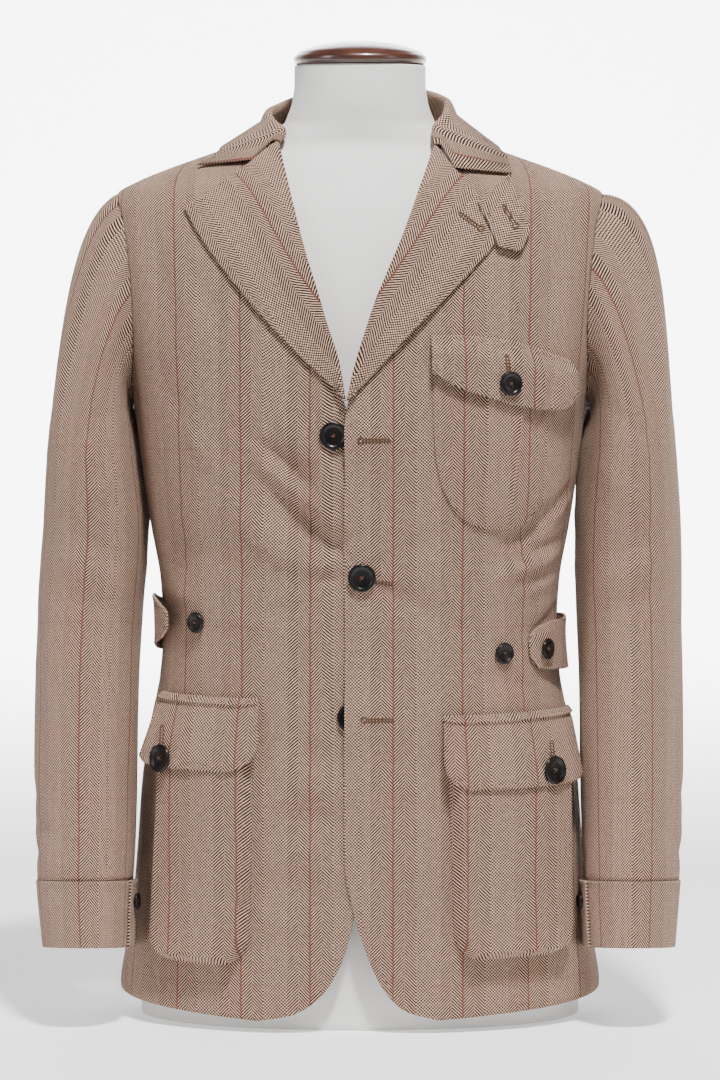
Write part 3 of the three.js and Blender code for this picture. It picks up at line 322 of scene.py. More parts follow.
class Surface:
    """A surface tabled against quarters round and height, read in straight lines between its points."""

    def __init__(self, points):
        across, up = np.gradient(points, axis=1), np.gradient(points, axis=0)
        steps = np.linalg.norm(np.diff(points, axis=0, prepend=points[:1]), axis=2)
        self.points = points
        self.normals = unit(np.cross(across, up))
        self.climb = np.cumsum(steps, axis=0)[..., None]      # cloth length up from the bottom

    def read(self, values, q, z):
        q, z = np.broadcast_arrays(q, z)
        i = np.clip((z - HEIGHTS[0]) / (HEIGHTS[1] - HEIGHTS[0]), 0, len(HEIGHTS) - 1.001)
        j = np.clip((q - ROUNDS[0]) / (ROUNDS[1] - ROUNDS[0]), 0, len(ROUNDS) - 1.001)
        i0, j0 = i.astype(int), j.astype(int)
        a, b = (i - i0)[..., None], (j - j0)[..., None]
        return ((values[i0, j0] * (1 - a) + values[i0 + 1, j0] * a) * (1 - b)
                + (values[i0, j0 + 1] * (1 - a) + values[i0 + 1, j0 + 1] * a) * b)

    def normal(self, q, z):
        return unit(self.read(self.normals, q, z))

    def at(self, q, z, height=0):
        """Point at q, z, lifted along the normal by height."""
        return self.read(self.points, q, z) + self.normal(q, z) * np.asarray(height)[..., None]


bare = Surface(body_points())


def quarter_length(quarter, z):
    return np.interp(z, HEIGHTS, quarter[3][:, -1])


def along_ring(q, z):
    """Cloth distance round from the centre front, negative on the wearer's right."""
    way = np.abs(q)
    front = np.minimum(way, 1) * quarter_length(FRONT_QUARTER, z)
    return np.sign(q) * (front + np.maximum(way - 1, 0) * quarter_length(BACK_QUARTER, z))


def round_of_x(x, z):
    """Quarters round of the front point that is x from the middle, by halving the search 22 times."""
    x, z = np.broadcast_arrays(np.asarray(x, float), z)
    least, most = np.zeros(x.shape), np.ones(x.shape)
    for _ in range(22):
        middle = (least + most) / 2
        inside = bare.read(bare.points, middle, z)[..., 0] < np.abs(x)
        least, most = np.where(inside, middle, least), np.where(inside, most, middle)
    return np.sign(x) * (least + most) / 2


def to_metres(points):
    return points * MM + MIDDLE


def grid_faces(rows, cols, closed=False):
    """Quads of a grid numbered row by row; a closed one joins its last column to its first."""
    i, j = np.meshgrid(np.arange(rows - 1), np.arange(cols if closed else cols - 1), indexing="ij")
    a, b = i * cols + j, i * cols + (j + 1) % cols
    return np.stack([a, b, b + cols, a + cols], axis=-1).reshape(-1, 4)


def volume(points, faces):
    """Signed volume inside quads; positive where they face outwards."""
    a, b, c, d = (points[faces[:, k]] for k in range(4))
    return (np.einsum("ij,ij->", a, np.cross(b, c)) + np.einsum("ij,ij->", a, np.cross(c, d))) / 6


def closed_rings(name, rings, finish, uv=None):
    """A solid from closed ring sections, each end drawn in to its middle."""
    ends = [ring.mean(axis=0, keepdims=True).repeat(len(ring), axis=0) for ring in (rings[0], rings[-1])]
    stack = np.concatenate([[mix(ends[0], rings[0], 0.002)], rings, [mix(ends[1], rings[-1], 0.002)]])
    rows, cols = stack.shape[:2]
    points = to_metres(stack.reshape(-1, 3))
    faces = grid_faces(rows, cols, closed=True)
    lids = [np.arange(cols)[::-1], np.arange(cols) + (rows - 1) * cols]
    if volume(points, faces) < 0:
        faces = faces[:, ::-1]
        lids = [lid[::-1] for lid in lids]
    return make_mesh(name, points, [*faces.tolist(), *(lid.tolist() for lid in lids)], finish, uv)


def belongs(piece, slot, *nodes):
    """The piece rides on the one body and stands for these nodes, which are hidden; slot is not used."""
    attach(piece, "root")
    if nodes:
        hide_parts(*nodes)
    return piece


# Inset of the form under the jacket, and the rings of its neck.
FORM = table("z inset", [
    [0, 20], [60, 18], [150, 16], [250, 13], [330, 12], [420, 11], [524, 10], [620, 9], [680, 6.5],
    [700, 5.2], [726, 6.5], [740, 8.5], [752, 9],
])
FORM_TOP = 748
FORM_NECK = table("z half front back", [
    [762, 64, 50, 55], [779, 58, 53, 54.5], [796, 56, 54, 54], [810, 56, 54, 54],
])
FORM_ROUNDS = np.linspace(-2, 2, 193)[:-1]

jersey = Finish("jersey_cover", Sheen_Weight=0.25, Sheen_Roughness=0.5, Specular_IOR_Level=0.25)
place = jersey.object_place()
stitches = jersey.noise(place, 1400, 1.0, (1, 1, 0.45))
slubs = jersey.noise(place, 9, 3)
jersey.feed("Base Color", jersey.mix(slubs * 0.5 + stitches * 0.4, (0.70, 0.685, 0.66), (0.84, 0.83, 0.81)))
jersey.feed("Roughness", stitches * 0.15 + 0.78)
jersey.bump(stitches, 0.00025)


def form_rings():
    """Rings of the body drawn in by the inset, then a round neck; between them the two sets are blended."""
    heights = np.linspace(0, FORM_TOP, 120)
    q, z = np.meshgrid(FORM_ROUNDS, heights)
    points = bare.at(q, z, -through(FORM, "inset", heights)[:, None])
    points[0, :, 2] = 0
    neck_heights = np.linspace(FORM_NECK["z"][0], FORM_NECK["z"][-1], 26)
    angle = FORM_ROUNDS * math.pi / 2
    half, front, back = (through(FORM_NECK, name, neck_heights)[:, None]
                         for name in ("half", "front", "back"))
    deep = -np.cos(angle) * np.where(np.cos(angle) > 0, front, back)
    tall = np.broadcast_to(neck_heights[:, None], deep.shape)
    neck = np.stack([half * np.sin(angle), deep, tall], axis=-1)
    start, end = points[-1], neck[0]
    shares = np.linspace(0, 1, 6)[1:-1, None, None]
    return np.concatenate([points, start * (1 - shares) + end * shares, neck])


form = closed_rings("form_cover", form_rings(), jersey)
belongs(form, "cover", "form_body")

# Walnut neck cap: a turned dome with a bead round its foot, varnished, screwed down on the neck.
CAP_BASE = 810.3
CAP = table("r z", [
    [0.1, 0], [52, 0], [54.5, 0.6], [56.3, 2.2], [57, 5], [56.4, 7.4], [55.2, 8.6], [54.2, 9.2],
    [53.2, 10.4], [50, 12.4], [44, 14.8], [38, 16.6], [28, 18.8], [14, 20.4], [0.1, 21],
])
CAP_TURNS = np.linspace(0, 2 * math.pi, 129)[:-1]


def lathe(profile, turns):
    """Rings of a turned profile, r from the axis and z up."""
    r, z = profile["r"][:, None], profile["z"][:, None]
    x, y = r * np.cos(turns), r * np.sin(turns)
    return np.stack([x, y, np.broadcast_to(z, x.shape)], axis=-1)


walnut = Finish("varnished_walnut", Coat_Roughness=0.12, Specular_IOR_Level=0.5)
place = walnut.object_place()
bend = walnut.noise(place, 14, 3)
grain = walnut.noise(place, 55, 6, (1, 0.16, 1))
pores = walnut.noise(place, 700, 2, (1, 0.05, 1))
figure = (grain * 1.5 + bend * 0.5 - 0.5).clamped()
walnut.feed("Base Color", walnut.mix(figure, (0.016, 0.005, 0.003), (0.085, 0.026, 0.013)))
walnut.feed("Roughness", pores * 0.2 + 0.24)
walnut.feed("Coat Weight", bend * 0.2 + 0.6)
walnut.bump(pores * 0.5 + grain * 0.5, 0.00012)
cap_rings = lathe(CAP, CAP_TURNS) + [0, 0, CAP_BASE]
belongs(closed_rings("neck_cap", cap_rings, walnut), "walnut", "form_cap")

# ---------------------------------------------------------------- fronts
# The two fronts, left over right, of brown herringbone wool 1.8 mm thick. Each has its front edge and
# hem turned and stitched, and the left one rises over the two undone buttons of the right.
CLOTH = 1.8                     # thickness of the wool
LAP = 13                        # how far the left front runs past the centre front
SHOULDER_TIP = 702
UNDERARM = 524
NECK_POINT = 753
NAPE = 769
SIDE_SEAM = 1.03
HALF_SEAM = 0.15
STRIPE_REPEAT = 59              # across the cloth, from one rust stripe to the next
STRIPE_AT = 19.5                # where the rust stripe lies in a repeat
COLUMN = 9.75                   # width of one herringbone column
COLUMNS_WIDE = 39               # four columns, then a plain hopsack ground
CHECK_REPEAT = 150              # along the cloth, from one rust bar to the next
WEAVE = 2.75                    # length of one repeat of the yarns, along and across
FAR = 40 * STRIPE_REPEAT        # keeps every cut coordinate positive
TWILL_SLANT = 1.0
SLATE_AT = COLUMNS_WIDE + 10    # where the grey-blue stripe lies in a repeat
RUST, SLATE = (0.12, 0.016, 0.009), (0.11, 0.12, 0.15)
GOLD_FLECK, BLUE_FLECK = (0.42, 0.22, 0.055), (0.08, 0.11, 0.17)
HAZE, EDGE_LIGHTER = (0.22, 0.15, 0.11), (0.30, 0.21, 0.155)      # a cloudy tone of long wear all over, and a lighter brown within 1.3 mm of the cut edges


def tweed_finish(name, dark=(0.007, 0.0026, 0.0015), light=(0.82, 0.535, 0.4)):
    """Herringbone and hopsack from the cut's own coordinates, in metres of cloth.

    Twill lines climb by the slant of the distance into a column, to and fro. Between the columns
    lies a hopsack, light where the product of two sines is positive. A rust stripe runs down the
    columns' middle, a grey-blue one down the hopsack, and faint bars of both cross them.
    """
    tweed = Finish(name, Specular_IOR_Level=0.12, Sheen_Weight=0.1, Sheen_Roughness=0.4,
                   Sheen_Tint=(0.9, 0.72, 0.6, 1))
    cut = tweed.node("ShaderNodeUVMap", {"uv_map": "cut"})
    parts = tweed.node("ShaderNodeSeparateXYZ", {}, {0: cut})
    wander = tweed.noise(cut, 70, 2) - 0.5
    fibre = tweed.noise(cut, 2300, 1, (1, 0.6, 1))
    across = parts / MM + wander * 0.9
    along = Wire(tweed, parts.socket.node.outputs[1]) / MM + wander * 0.8
    place = (across / STRIPE_REPEAT).fract() * STRIPE_REPEAT
    zigzag = abs((place / (2 * COLUMN)).fract() - 0.5) * (2 * COLUMN)
    step = (place / COLUMN).floor() * 0.5
    line = ((along + zigzag * TWILL_SLANT) / WEAVE + step).fract()
    twill = ((abs(line - 0.5) - 0.325) * 10 + 0.5).clamped()
    turn = 2 * math.pi / WEAVE
    hopsack = ((place * turn).sin() * (along * turn).sin() * 4.5 - 0.1).clamped()
    in_columns = place < COLUMNS_WIDE
    light_yarn = in_columns * twill + (1 - in_columns) * hopsack
    heather = tweed.noise(cut, 260, 3)
    cloudy = tweed.noise(cut, 13, 3)
    share = (light_yarn * 0.92 + (heather - 0.5) * 0.3 + (fibre - 0.5) * 0.24).clamped()
    wool = tweed.mix(share, dark, light)
    rust = place.near(STRIPE_AT, 1.0) * 1.3
    slate = place.near(SLATE_AT, 0.9) * 0.3
    height = (along / CHECK_REPEAT).fract() * CHECK_REPEAT
    rust_bar = height.near(40, 0.9) * 0.3
    slate_bar = height.near(115, 0.9) * 0.26
    wool = tweed.mix((rust + rust_bar).clamped() * 0.85, wool, RUST)
    wool = tweed.mix((slate + slate_bar).clamped(), wool, SLATE)
    flecks = tweed.noise(cut, 520, 1)
    wool = tweed.mix((flecks > 0.735) * 0.5, wool, GOLD_FLECK)
    wool = tweed.mix(((1 - flecks) > 0.74) * 0.45, wool, BLUE_FLECK)
    wool = tweed.mix(cloudy * 0.12, wool, HAZE)
    edge = tweed.node("ShaderNodeAttribute", {"attribute_name": "edge"}, out=2)
    # Within 1.3 mm of a cut edge the wool is mixed, patchily, towards a lighter brown.
    edge_lighter_share = (1 - edge / 1.3).clamped() * (heather * 0.4 + 0.1)
    wool = tweed.mix(edge_lighter_share, wool, EDGE_LIGHTER)
    tweed.feed("Base Color", wool)
    tweed.feed("Roughness", heather * 0.12 + 0.84 - light_yarn * 0.06)
    tweed.bump(light_yarn * 0.6 + fibre * 0.4, 0.0007)
    return tweed


tweed = tweed_finish("herringbone_tweed")

# Folds of the worn cloth: each is a soft trough (deep below 0) or ridge about a line from a to b.
# s is the distance round from the centre front, negative on the wearer's right.
FOLDS = [  # sa, za, sb, zb, wide, deep
    (-84, 502, -38, 446, 13, -5.5),
    (-88, 456, -14, 398, 13, -6.5),
    (-112, 440, -40, 372, 14, 4),
    (-66, 470, -24, 428, 11, 4),
    (-60, 516, -8, 440, 13, 3.5),
    (175, 418, 118, 398, 13, -4),
    (190, 392, 122, 378, 14, 2.5),
    (-190, 420, -130, 392, 14, -3),
    (-40, 176, -84, 150, 20, -3),
    (196, 436, 132, 414, 12, -3),
    (184, 676, 160, 592, 9, -3),
    (-182, 672, -164, 592, 9, -3),
    (40, 250, 52, 60, 26, 3),
    (-48, 240, -58, 60, 24, 3),
    (14, 372, 80, 346, 14, -2),
]
CREASES = [  # the same, narrower, and not in the solids
    (-96, 508, -46, 458, 5, -3.6),
    (-92, 470, -15, 401, 5, -4.2),
    (-90, 490, -36, 440, 6, 3),
    (-104, 516, -70, 488, 6, 3),
    (-44, 398, 0, 416, 5, -3.3),
    (-58, 386, -14, 378, 5, -3),
    (200, 410, 112, 388, 5, -3.6),
    (204, 452, 150, 420, 5, -3.4),
    (206, 440, 150, 404, 6, 3),
    (200, 348, 150, 330, 6, -3.6),
    (96, 300, 150, 286, 6, -2.4),
    (-64, 446, -26, 404, 6, -3.6),
    (-72, 486, -44, 452, 6, -4.1),
    (-58, 428, -10, 396, 5, -4.1),
    (-14, 384, -52, 372, 6, -3.6),
    (-30, 410, -8, 392, 5, 3.2),
    (18, 372, 44, 362, 7, -3.3),
    (182, 424, 120, 408, 7, -4.1),
    (186, 398, 128, 384, 7, 3.6),
    (190, 384, 132, 372, 7, -3),
    (-60, 242, -20, 232, 8, -3),
    (-64, 214, -16, 202, 9, 2.7),
    (-62, 186, -18, 176, 9, -3.2),
    (-70, 158, -22, 146, 9, 2.7),
    (-72, 128, -26, 114, 9, -3.2),
    (-84, 96, -40, 84, 9, 2.2),
    (16, 196, 66, 186, 9, -2.2),
    (14, 150, 68, 138, 10, 2.1),
    (120, 640, 150, 560, 9, -2.2),
    (-150, 650, -120, 590, 10, -2.7),
    (-170, 520, -120, 470, 9, 2.7),
    (-100, 408, -34, 362, 8, -2.2),
    (-128, 400, -74, 372, 7, -1.8),
    (-24, 372, -78, 340, 8, -2.1),
    (-110, 348, -44, 330, 8, 1.8),
    (26, 398, 74, 420, 8, -2.1),
    (30, 362, 92, 334, 7, -1.8),
    (196, 404, 142, 388, 6, -2.5),
    (188, 372, 136, 366, 6, 2.1),
    (-196, 400, -146, 380, 6, -2.2),
    (-186, 366, -142, 360, 6, 1.8),
    (172, 560, 150, 500, 7, -2.1),
    (-176, 556, -150, 490, 8, -2.1),
    (-30, 232, -74, 206, 9, -2.1),
    (22, 232, 62, 214, 9, -1.8),
    (-66, 130, -100, 108, 10, -1.8),
    (36, 110, 66, 84, 10, -1.5),
]
BACK_FOLDS = [  # the same, s from the centre back
    (-150, 566, -96, 470, 15, -3),
    (146, 560, 84, 452, 14, -3.2),
    (-168, 420, -92, 372, 13, -3.1),
    (170, 430, 104, 386, 14, -3.4),
    (-60, 366, 48, 356, 11, -2.9),
    (-88, 338, 20, 332, 10, 2),
    (-24, 392, 92, 380, 10, -1.6),
    (-70, 280, -84, 70, 24, 3),
    (76, 290, 92, 66, 26, 3.6),
    (-8, 688, 14, 560, 20, -1.6),
    (-164, 650, -140, 560, 10, -2.6),
    (160, 655, 138, 566, 10, -2.9),
]
FLOOR = 8.5                     # no trough is deeper than this, so that none reaches the form


def fold_lift(s, z, folds):
    """Sum of the folds: deep x a bell across the line, fading to a third at its ends."""
    lift = np.zeros(np.broadcast(s, z).shape)
    for sa, za, sb, zb, wide, deep in folds:
        ds, dz = sb - sa, zb - za
        t = np.clip(((s - sa) * ds + (z - za) * dz) / (ds * ds + dz * dz), 0, 1)
        away = np.hypot(s - sa - t * ds, z - za - t * dz) / wide
        lift += deep * (0.35 + 0.65 * np.sin(math.pi * np.clip(t, 0.04, 0.96))) * np.exp(-away * away)
    return np.where(lift < 0, FLOOR * np.tanh(lift / FLOOR), lift)


def cloth_points():
    """The body surface with its folds, none at the side and shoulder seams."""
    q, z = np.meshgrid(ROUNDS, HEIGHTS)
    wrapped = np.where(np.abs(q) > 2, q - 4 * np.sign(q), q)
    front = fold_lift(along_ring(wrapped, z), z, FOLDS + CREASES) * smooth((1 - np.abs(wrapped)) / 0.12)
    from_back = np.sign(wrapped) * (2 - np.abs(wrapped)) * quarter_length(BACK_QUARTER, z)
    back = fold_lift(from_back, z, BACK_FOLDS) * smooth((np.abs(wrapped) - 1.06) / 0.12)
    return bare.points + bare.normals * np.where(np.abs(wrapped) < 1, front, back)[..., None]


worn = Surface(cloth_points())
on_cloth = worn.at


def cut_place(q, z, rust_at=0.0, turn=0.0, about=(0, 0), origin=0):
    """Cut coordinates in metres: round the ring and up the cloth, a rust stripe at rust_at.

    The grain is turned about a place given as the same two distances.
    origin is the quarter that the way round is measured from: 0 at the centre front, 2 or -2 at the back.
    """
    u = along_ring(q, z) - along_ring(np.full(q.shape, float(origin)), z)
    v = worn.read(worn.climb, q, z)[..., 0]
    c, s = math.cos(turn), math.sin(turn)
    du, dv = u - about[0], v - about[1]
    u, v = about[0] + c * du - s * dv, about[1] + s * du + c * dv
    return np.stack([(u - rust_at + STRIPE_AT + FAR) * MM, v * MM], axis=-1)


def grid_normals(points):
    return unit(np.cross(np.gradient(points, axis=1), np.gradient(points, axis=0)))


def edge_distances(points, closed=False):
    """Distance along the cloth from each side of a grid: bottom row, top row, first and last column."""
    down = np.cumsum(np.linalg.norm(np.diff(points, axis=0, prepend=points[:1]), axis=2), axis=0)
    across = np.cumsum(np.linalg.norm(np.diff(points, axis=1, prepend=points[:, :1]), axis=2), axis=1)
    far = np.full(down.shape, 1e3)
    sides = [down, down[-1:] - down, across, across[:, -1:] - across]
    return sides[:2] + [far, far] if closed else sides


ROUND_OFF = 1.1                 # width over which a turned edge curves down
STITCH_PULL = 0.3               # depth to which a stitch row draws the cloth in


class Cut:
    """One cut piece of cloth: its face, normals and mesh, kept so that stitches can be laid along it."""

    def __init__(self, name, face, out, place, stitched=(), turned=(0, 1, 2, 3), thick=CLOTH, finish=None):
        """face is a grid of points; out a point that it looks away from, or a grid of directions.

        stitched holds (side, distance) pairs; turned lists the sides whose edge curves down.
        """
        normals = grid_normals(face)
        direction = out if np.ndim(out) == 3 else face - out
        if np.einsum("ijk,ijk->", normals, direction) < 0:
            normals = -normals
        sides = edge_distances(face)
        edge = np.minimum.reduce([sides[k] for k in turned]) if turned else np.full(face.shape[:2], 50.0)
        sink = 0.6 * np.clip(1 - edge / ROUND_OFF, 0, 1) ** 2
        for side, distance in stitched:
            sink = sink + STITCH_PULL * np.exp(-((sides[side] - distance) / 1.0) ** 2)
            sink = sink - 0.22 * np.sin(math.pi * np.clip(sides[side] / distance, 0, 1))
        self.face = face - normals * sink[..., None]
        self.normals = normals
        self.sides = sides
        inner = face - normals * thick
        rows, cols = face.shape[:2]
        points = to_metres(np.concatenate([self.face.reshape(-1, 3), inner.reshape(-1, 3)]))
        faces = wall_faces(rows, cols)
        if volume(points, faces) < 0:
            faces = faces[:, ::-1]
        uv = np.concatenate([place.reshape(-1, 2)] * 2)
        self.piece = make_mesh(name, points, faces, finish or tweed, uv, {"edge": np.tile(edge.ravel(), 2)})

    def sewn(self, rests_on, held, *nodes):
        width, length = np.max(self.sides[2] + self.sides[3]), np.max(self.sides[0] + self.sides[1])
        belongs(self.piece, "tweed", *nodes)
        return self

    def row(self, side, distance, start=0.0, end=1.0):
        """Points and normals of a line at a distance from one side, between two shares of its length."""
        away, face, normals = self.sides[side], self.face, self.normals
        if side in (0, 1):
            away, face, normals = away.T, face.swapaxes(0, 1), normals.swapaxes(0, 1)
        if side in (1, 3):
            away, face, normals = away[:, ::-1], face[:, ::-1], normals[:, ::-1]
        k = np.clip((away < distance).sum(axis=1) - 1, 0, away.shape[1] - 2)
        n = np.arange(len(away))
        t = np.clip((distance - away[n, k]) / np.maximum(away[n, k + 1] - away[n, k], 1e-6), 0, 1)[:, None]
        picked = slice(int(start * len(n)), max(int(end * len(n)), 2))
        points = mix(face[n, k], face[n, k + 1], t)[picked]
        return points, unit(mix(normals[n, k], normals[n, k + 1], t))[picked]


def wall_faces(rows, cols):
    """Quads of a closed wall: the face, the back facing the other way, and the four rims between them."""
    face = grid_faces(rows, cols)
    at = np.arange(rows * cols).reshape(rows, cols)
    rim = np.concatenate([at[0], at[1:, -1], at[-1, -2::-1], at[-2:0:-1, 0]])
    after = np.roll(rim, -1)
    behind = rows * cols
    rims = np.stack([rim, rim + behind, after + behind, after], axis=-1)
    return np.concatenate([face, face[:, ::-1] + behind, rims])


def crowded(count, length, near=(0.5, 1.1, 2.0)):
    """Shares from 0 to 1 with extra lines near both ends, at those distances in mm from them."""
    close = np.array([0, *near]) / length
    return np.concatenate([close, np.linspace(close[-1], 1 - close[-1], count)[1:-1], 1 - close[::-1]])


ARMHOLE_MIDDLE = (SHOULDER_TIP + UNDERARM) / 2
ARMHOLE_RISE = (SHOULDER_TIP - UNDERARM) / 2
ARMHOLE_REACH = 0.21


def armhole(degrees, towards):
    """Quarters and height of the armhole edge, degrees down from its top, to the front (-1) or back (1)."""
    side = 1 + (SIDE_SEAM - 1) * smooth((degrees - 90) / 90)
    reach = np.maximum(np.sin(np.radians(degrees)), 0) ** 0.85
    z = ARMHOLE_MIDDLE + ARMHOLE_RISE * np.cos(np.radians(degrees))
    return side + towards * ARMHOLE_REACH * reach, z


NECK_SEAM = table("q z", [[0.48, 734], [0.86, 747], [1, NECK_POINT], [1.4, 763], [2, NAPE]])
COLLAR_GAP = 0.8


def neck_seam(q):
    return through(NECK_SEAM, "z", q, key="q")


# Rows of the fronts from the hem up: the inner end (x, z), and the outer end on the side seam at a
# height, then on the armhole at an angle down from its top.
LEFT_FRONT = [
    (66, 11, 24, 180), (40, 18, 40, 180), (20, 37, 62, 180), (6, 66, 88, 180), (-5, 100, 120, 180),
    (-LAP, 150, 165, 180), (-LAP, 265, 268, 180), (-LAP, 382, 376, 180), (-LAP, 470, 452, 180),
    (-LAP, 505, 490, 180), (-10, 527, 524, 180), (-1, 556, 524, 150), (14, 604, 524, 118),
    (30, 643, 524, 88), (46, 682, 524, 58), (57, 713, 524, 30),
]
RIGHT_FRONT = [
    (85, 10, 24, 180), (58, 15, 40, 180), (34, 30, 62, 180), (17, 56, 88, 180), (6, 92, 120, 180),
    (-6, 150, 165, 180), (-10, 265, 268, 180), (-16, 382, 376, 180), (-6, 470, 452, 180),
    (5, 505, 490, 180), (14, 531, 524, 180), (21, 560, 524, 150), (32, 598, 524, 118),
    (46, 640, 524, 88), (57, 680, 524, 58), (65, 713, 524, 30),
]
SHOULDER_ANGLE = 12
ROW_STEP = 4.0                  # millimetres from one row of points to the next


def seam_shift(z):
    return HALF_SEAM / quarter_length(FRONT_QUARTER, z)


def fine_steps(counts, last):
    """Index from 0 upwards, each whole step cut into its own count of parts, and then last."""
    parts = [np.linspace(i, i + 1, n, endpoint=False) for i, n in enumerate(counts)]
    return np.concatenate([*parts, [last]])


def row_ends(inner_q, inner_z, seam, angle, towards):
    """Both ends of every fine row: the coarse ends joined by cubics, an even number of steps to each."""
    index = np.arange(len(inner_q))
    rise = np.hypot(np.diff(inner_z), 0.6 * np.diff(np.where(angle < 180, armhole(angle, towards)[1], seam)))
    counts = np.maximum(np.round(rise / ROW_STEP), 2).astype(int)
    fine = fine_steps(counts, len(counts))
    ends = table("i q z seam angle", np.stack([index, inner_q, inner_z, seam, angle], axis=1))
    q, z, height, degrees = (through(ends, name, fine, key="i") for name in ("q", "z", "seam", "angle"))
    arm_q, arm_z = armhole(degrees, towards)
    on_arm = degrees < 179.99
    out_q, out_z = np.where(on_arm, arm_q, SIDE_SEAM), np.where(on_arm, arm_z, height)
    sewn = ~on_arm | (degrees < 0.01)
    return (q, z), (out_q + sewn * towards * seam_shift(out_z), out_z)


def front_ends(rows):
    x, z, seam, angle = np.array(rows, float).T
    tail = np.array([0.5, 0.68, 0.86, 1.0])
    tail_z = np.append(neck_seam(tail[:-1]), NECK_POINT) - COLLAR_GAP
    tail_q = tail - np.array([0, 0, 0, seam_shift(NECK_POINT)])
    tail_angle = np.append(mix(30, SHOULDER_ANGLE, np.array([1, 2, 3]) / 3), 0)
    return row_ends(np.concatenate([round_of_x(x, z), tail_q]), np.concatenate([z, tail_z]),
                    np.concatenate([seam, np.full(4, UNDERARM)]), np.concatenate([angle, tail_angle]), -1)


def between(ends, shares):
    """Straight rows, in quarters and height, from the inner ends to the outer ones."""
    (q0, z0), (q1, z1) = ends
    return mix(q0[:, None], q1[:, None], shares), mix(z0[:, None], z1[:, None], shares)


TOP_BUTTON, MIDDLE_BUTTON, BOTTOM_BUTTON = 500, 382, 265
BUTTON_RISE = 4.6


def lap_lift(x, z):
    """How far the left front is lifted over the right: over the lap, and most over the undone buttons."""
    over = sum(np.exp(-((z - at) / 26) ** 2) for at in (TOP_BUTTON, BOTTOM_BUTTON))
    return (CLOTH + 1.1 + BUTTON_RISE * over) * smooth((44 - x) / 26) * (1 - smooth((z - 580) / 60))


BODY_MIDDLE = np.array([0, 0, 400])


def body_panel(name, side, ends, count, width, rust_at, stitched, lift, origin=0):
    shares = crowded(count, width, (0.5, 1.1, 2.2, 4.2, 6.2, 8.4))
    q, z = between(ends, shares)
    face = on_cloth(side * q, z, lift(q, z))
    place = cut_place(side * q, z, rust_at, origin=origin)
    return Cut(name, face, BODY_MIDDLE, place, stitched, (0, 2))


EDGE_ROW = 6                    # distance of edge stitching from the edge
HEM_ROW = 24                    # depth of the turned hem
LEFT_RUST, RIGHT_RUST = 27.5, -41.6     # where a rust stripe runs down each front
FRONT_COLUMNS, FRONT_WIDE = 82, 250
stitch_rows = []                # (points, normals) of every stitched line, sewn at the end


def left_lift(q, z):
    return lap_lift(bare.read(bare.points, q, z)[..., 0], z)


def flat_lift(q, z):
    return 0 * z


front_stitches = [(2, EDGE_ROW), (0, HEM_ROW)]
front_left = body_panel("front_left_cloth", 1, front_ends(LEFT_FRONT), FRONT_COLUMNS, FRONT_WIDE,
                        LEFT_RUST, front_stitches, left_lift)
front_left.sewn(["form_cover"], "hung", "front_left")
front_right = body_panel("front_right_cloth", -1, front_ends(RIGHT_FRONT), FRONT_COLUMNS, FRONT_WIDE,
                         RIGHT_RUST, front_stitches, flat_lift)
front_right.sewn(["form_cover"], "hung", "front_right")
stitch_rows.append(front_left.row(2, EDGE_ROW, 0.0, 0.68))
stitch_rows.append(front_right.row(2, EDGE_ROW, 0.0, 0.30))
stitch_rows += [front.row(0, HEM_ROW, 0.55, 1.0) for front in (front_left, front_right)]

# ---------------------------------------------------------------- backs
# Two backs of the same cloth, sewn together down the centre back and to the fronts at the sides and
# shoulders, their hem turned up like the fronts'.
BACK_COLUMNS, BACK_WIDE = 52, 210
BACK = [  # height at the centre back, height at the side seam, angle on the armhole
    (24, 24, 180), (110, 120, 180), (260, 260, 180), (376, 376, 180), (500, 480, 180), (550, 524, 180),
    (590, 524, 150), (632, 524, 118), (676, 524, 88), (722, 524, 58),
]


def back_ends():
    z, seam, angle = np.array(BACK, float).T
    tail = np.array([2, 1.5, 1.0])
    tail_z = np.append(neck_seam(tail[:-1]), NECK_POINT) - COLLAR_GAP
    all_z = np.concatenate([z, tail_z])
    all_q = np.concatenate([np.full(len(z), 2.0), tail])
    all_q = np.minimum(all_q, 2 - seam_shift(all_z)) + np.where(all_q == 1, seam_shift(all_z), 0)
    return row_ends(all_q, all_z, np.concatenate([seam, np.full(3, UNDERARM)]),
                    np.concatenate([angle, [30, SHOULDER_ANGLE, 0]]), 1)


for word, side in (("left", 1), ("right", -1)):
    back = body_panel(f"back_{word}_cloth", side, back_ends(), BACK_COLUMNS, BACK_WIDE,
                      side * STRIPE_REPEAT / 2, [(0, HEM_ROW)], flat_lift, origin=2 * side)
    back.sewn(["form_cover"], "hung", f"back_{word}")
    stitch_rows.append(back.row(0, HEM_ROW))

# ---------------------------------------------------------------- sleeves
# Two-piece sleeves of the same cloth: an upper and an under sleeve, sewn into the armhole. Each hangs
# straight from the shoulder and bends a little forwards below the elbow.
SLEEVE = table("z left right y half deep tilt", [
    [480, 231.3, 228.3, 0, 40, 72, 0],
    [424, 230.4, 226.8, 2, 44.8, 70, 0],
    [386, 230.5, 228.8, 1, 45.8, 68, 0.02],
    [352, 230.9, 231.2, -3, 45.4, 65, 0.05],
    [283, 232, 233.6, -18, 44.3, 60, 0.09],
    [214, 231.8, 234, -36, 43.6, 56, 0.11],
    [160, 231.2, 233.2, -51, 42.6, 54, 0.12],
    [120.5, 230.2, 233, -63, 40.6, 52, 0.12],
    [65, 229, 231, -76, 36.6, 50, 0.14],
])
CAP_END, CUFF_TOP, CUFF_HEM = 480, 120.5, 65
CAP_LEAVE = {"top": (120, 0, -60), "front": (58, -30, -60), "under": (20, 0, -6), "back": (58, 32, -60)}
SQUARE_CAP_LEAVE = dict(CAP_LEAVE, top=(178, 0, -5))         # the left shoulder is squarer
CAP_ARRIVE = {"top": (28, 0, -290), "front": (6, -8, -150), "under": (-6, 0, -60), "back": (6, 8, -150)}
ARM_SQUARENESS = 2.2
ARM_MIDDLE = 232                # x of the arm's middle
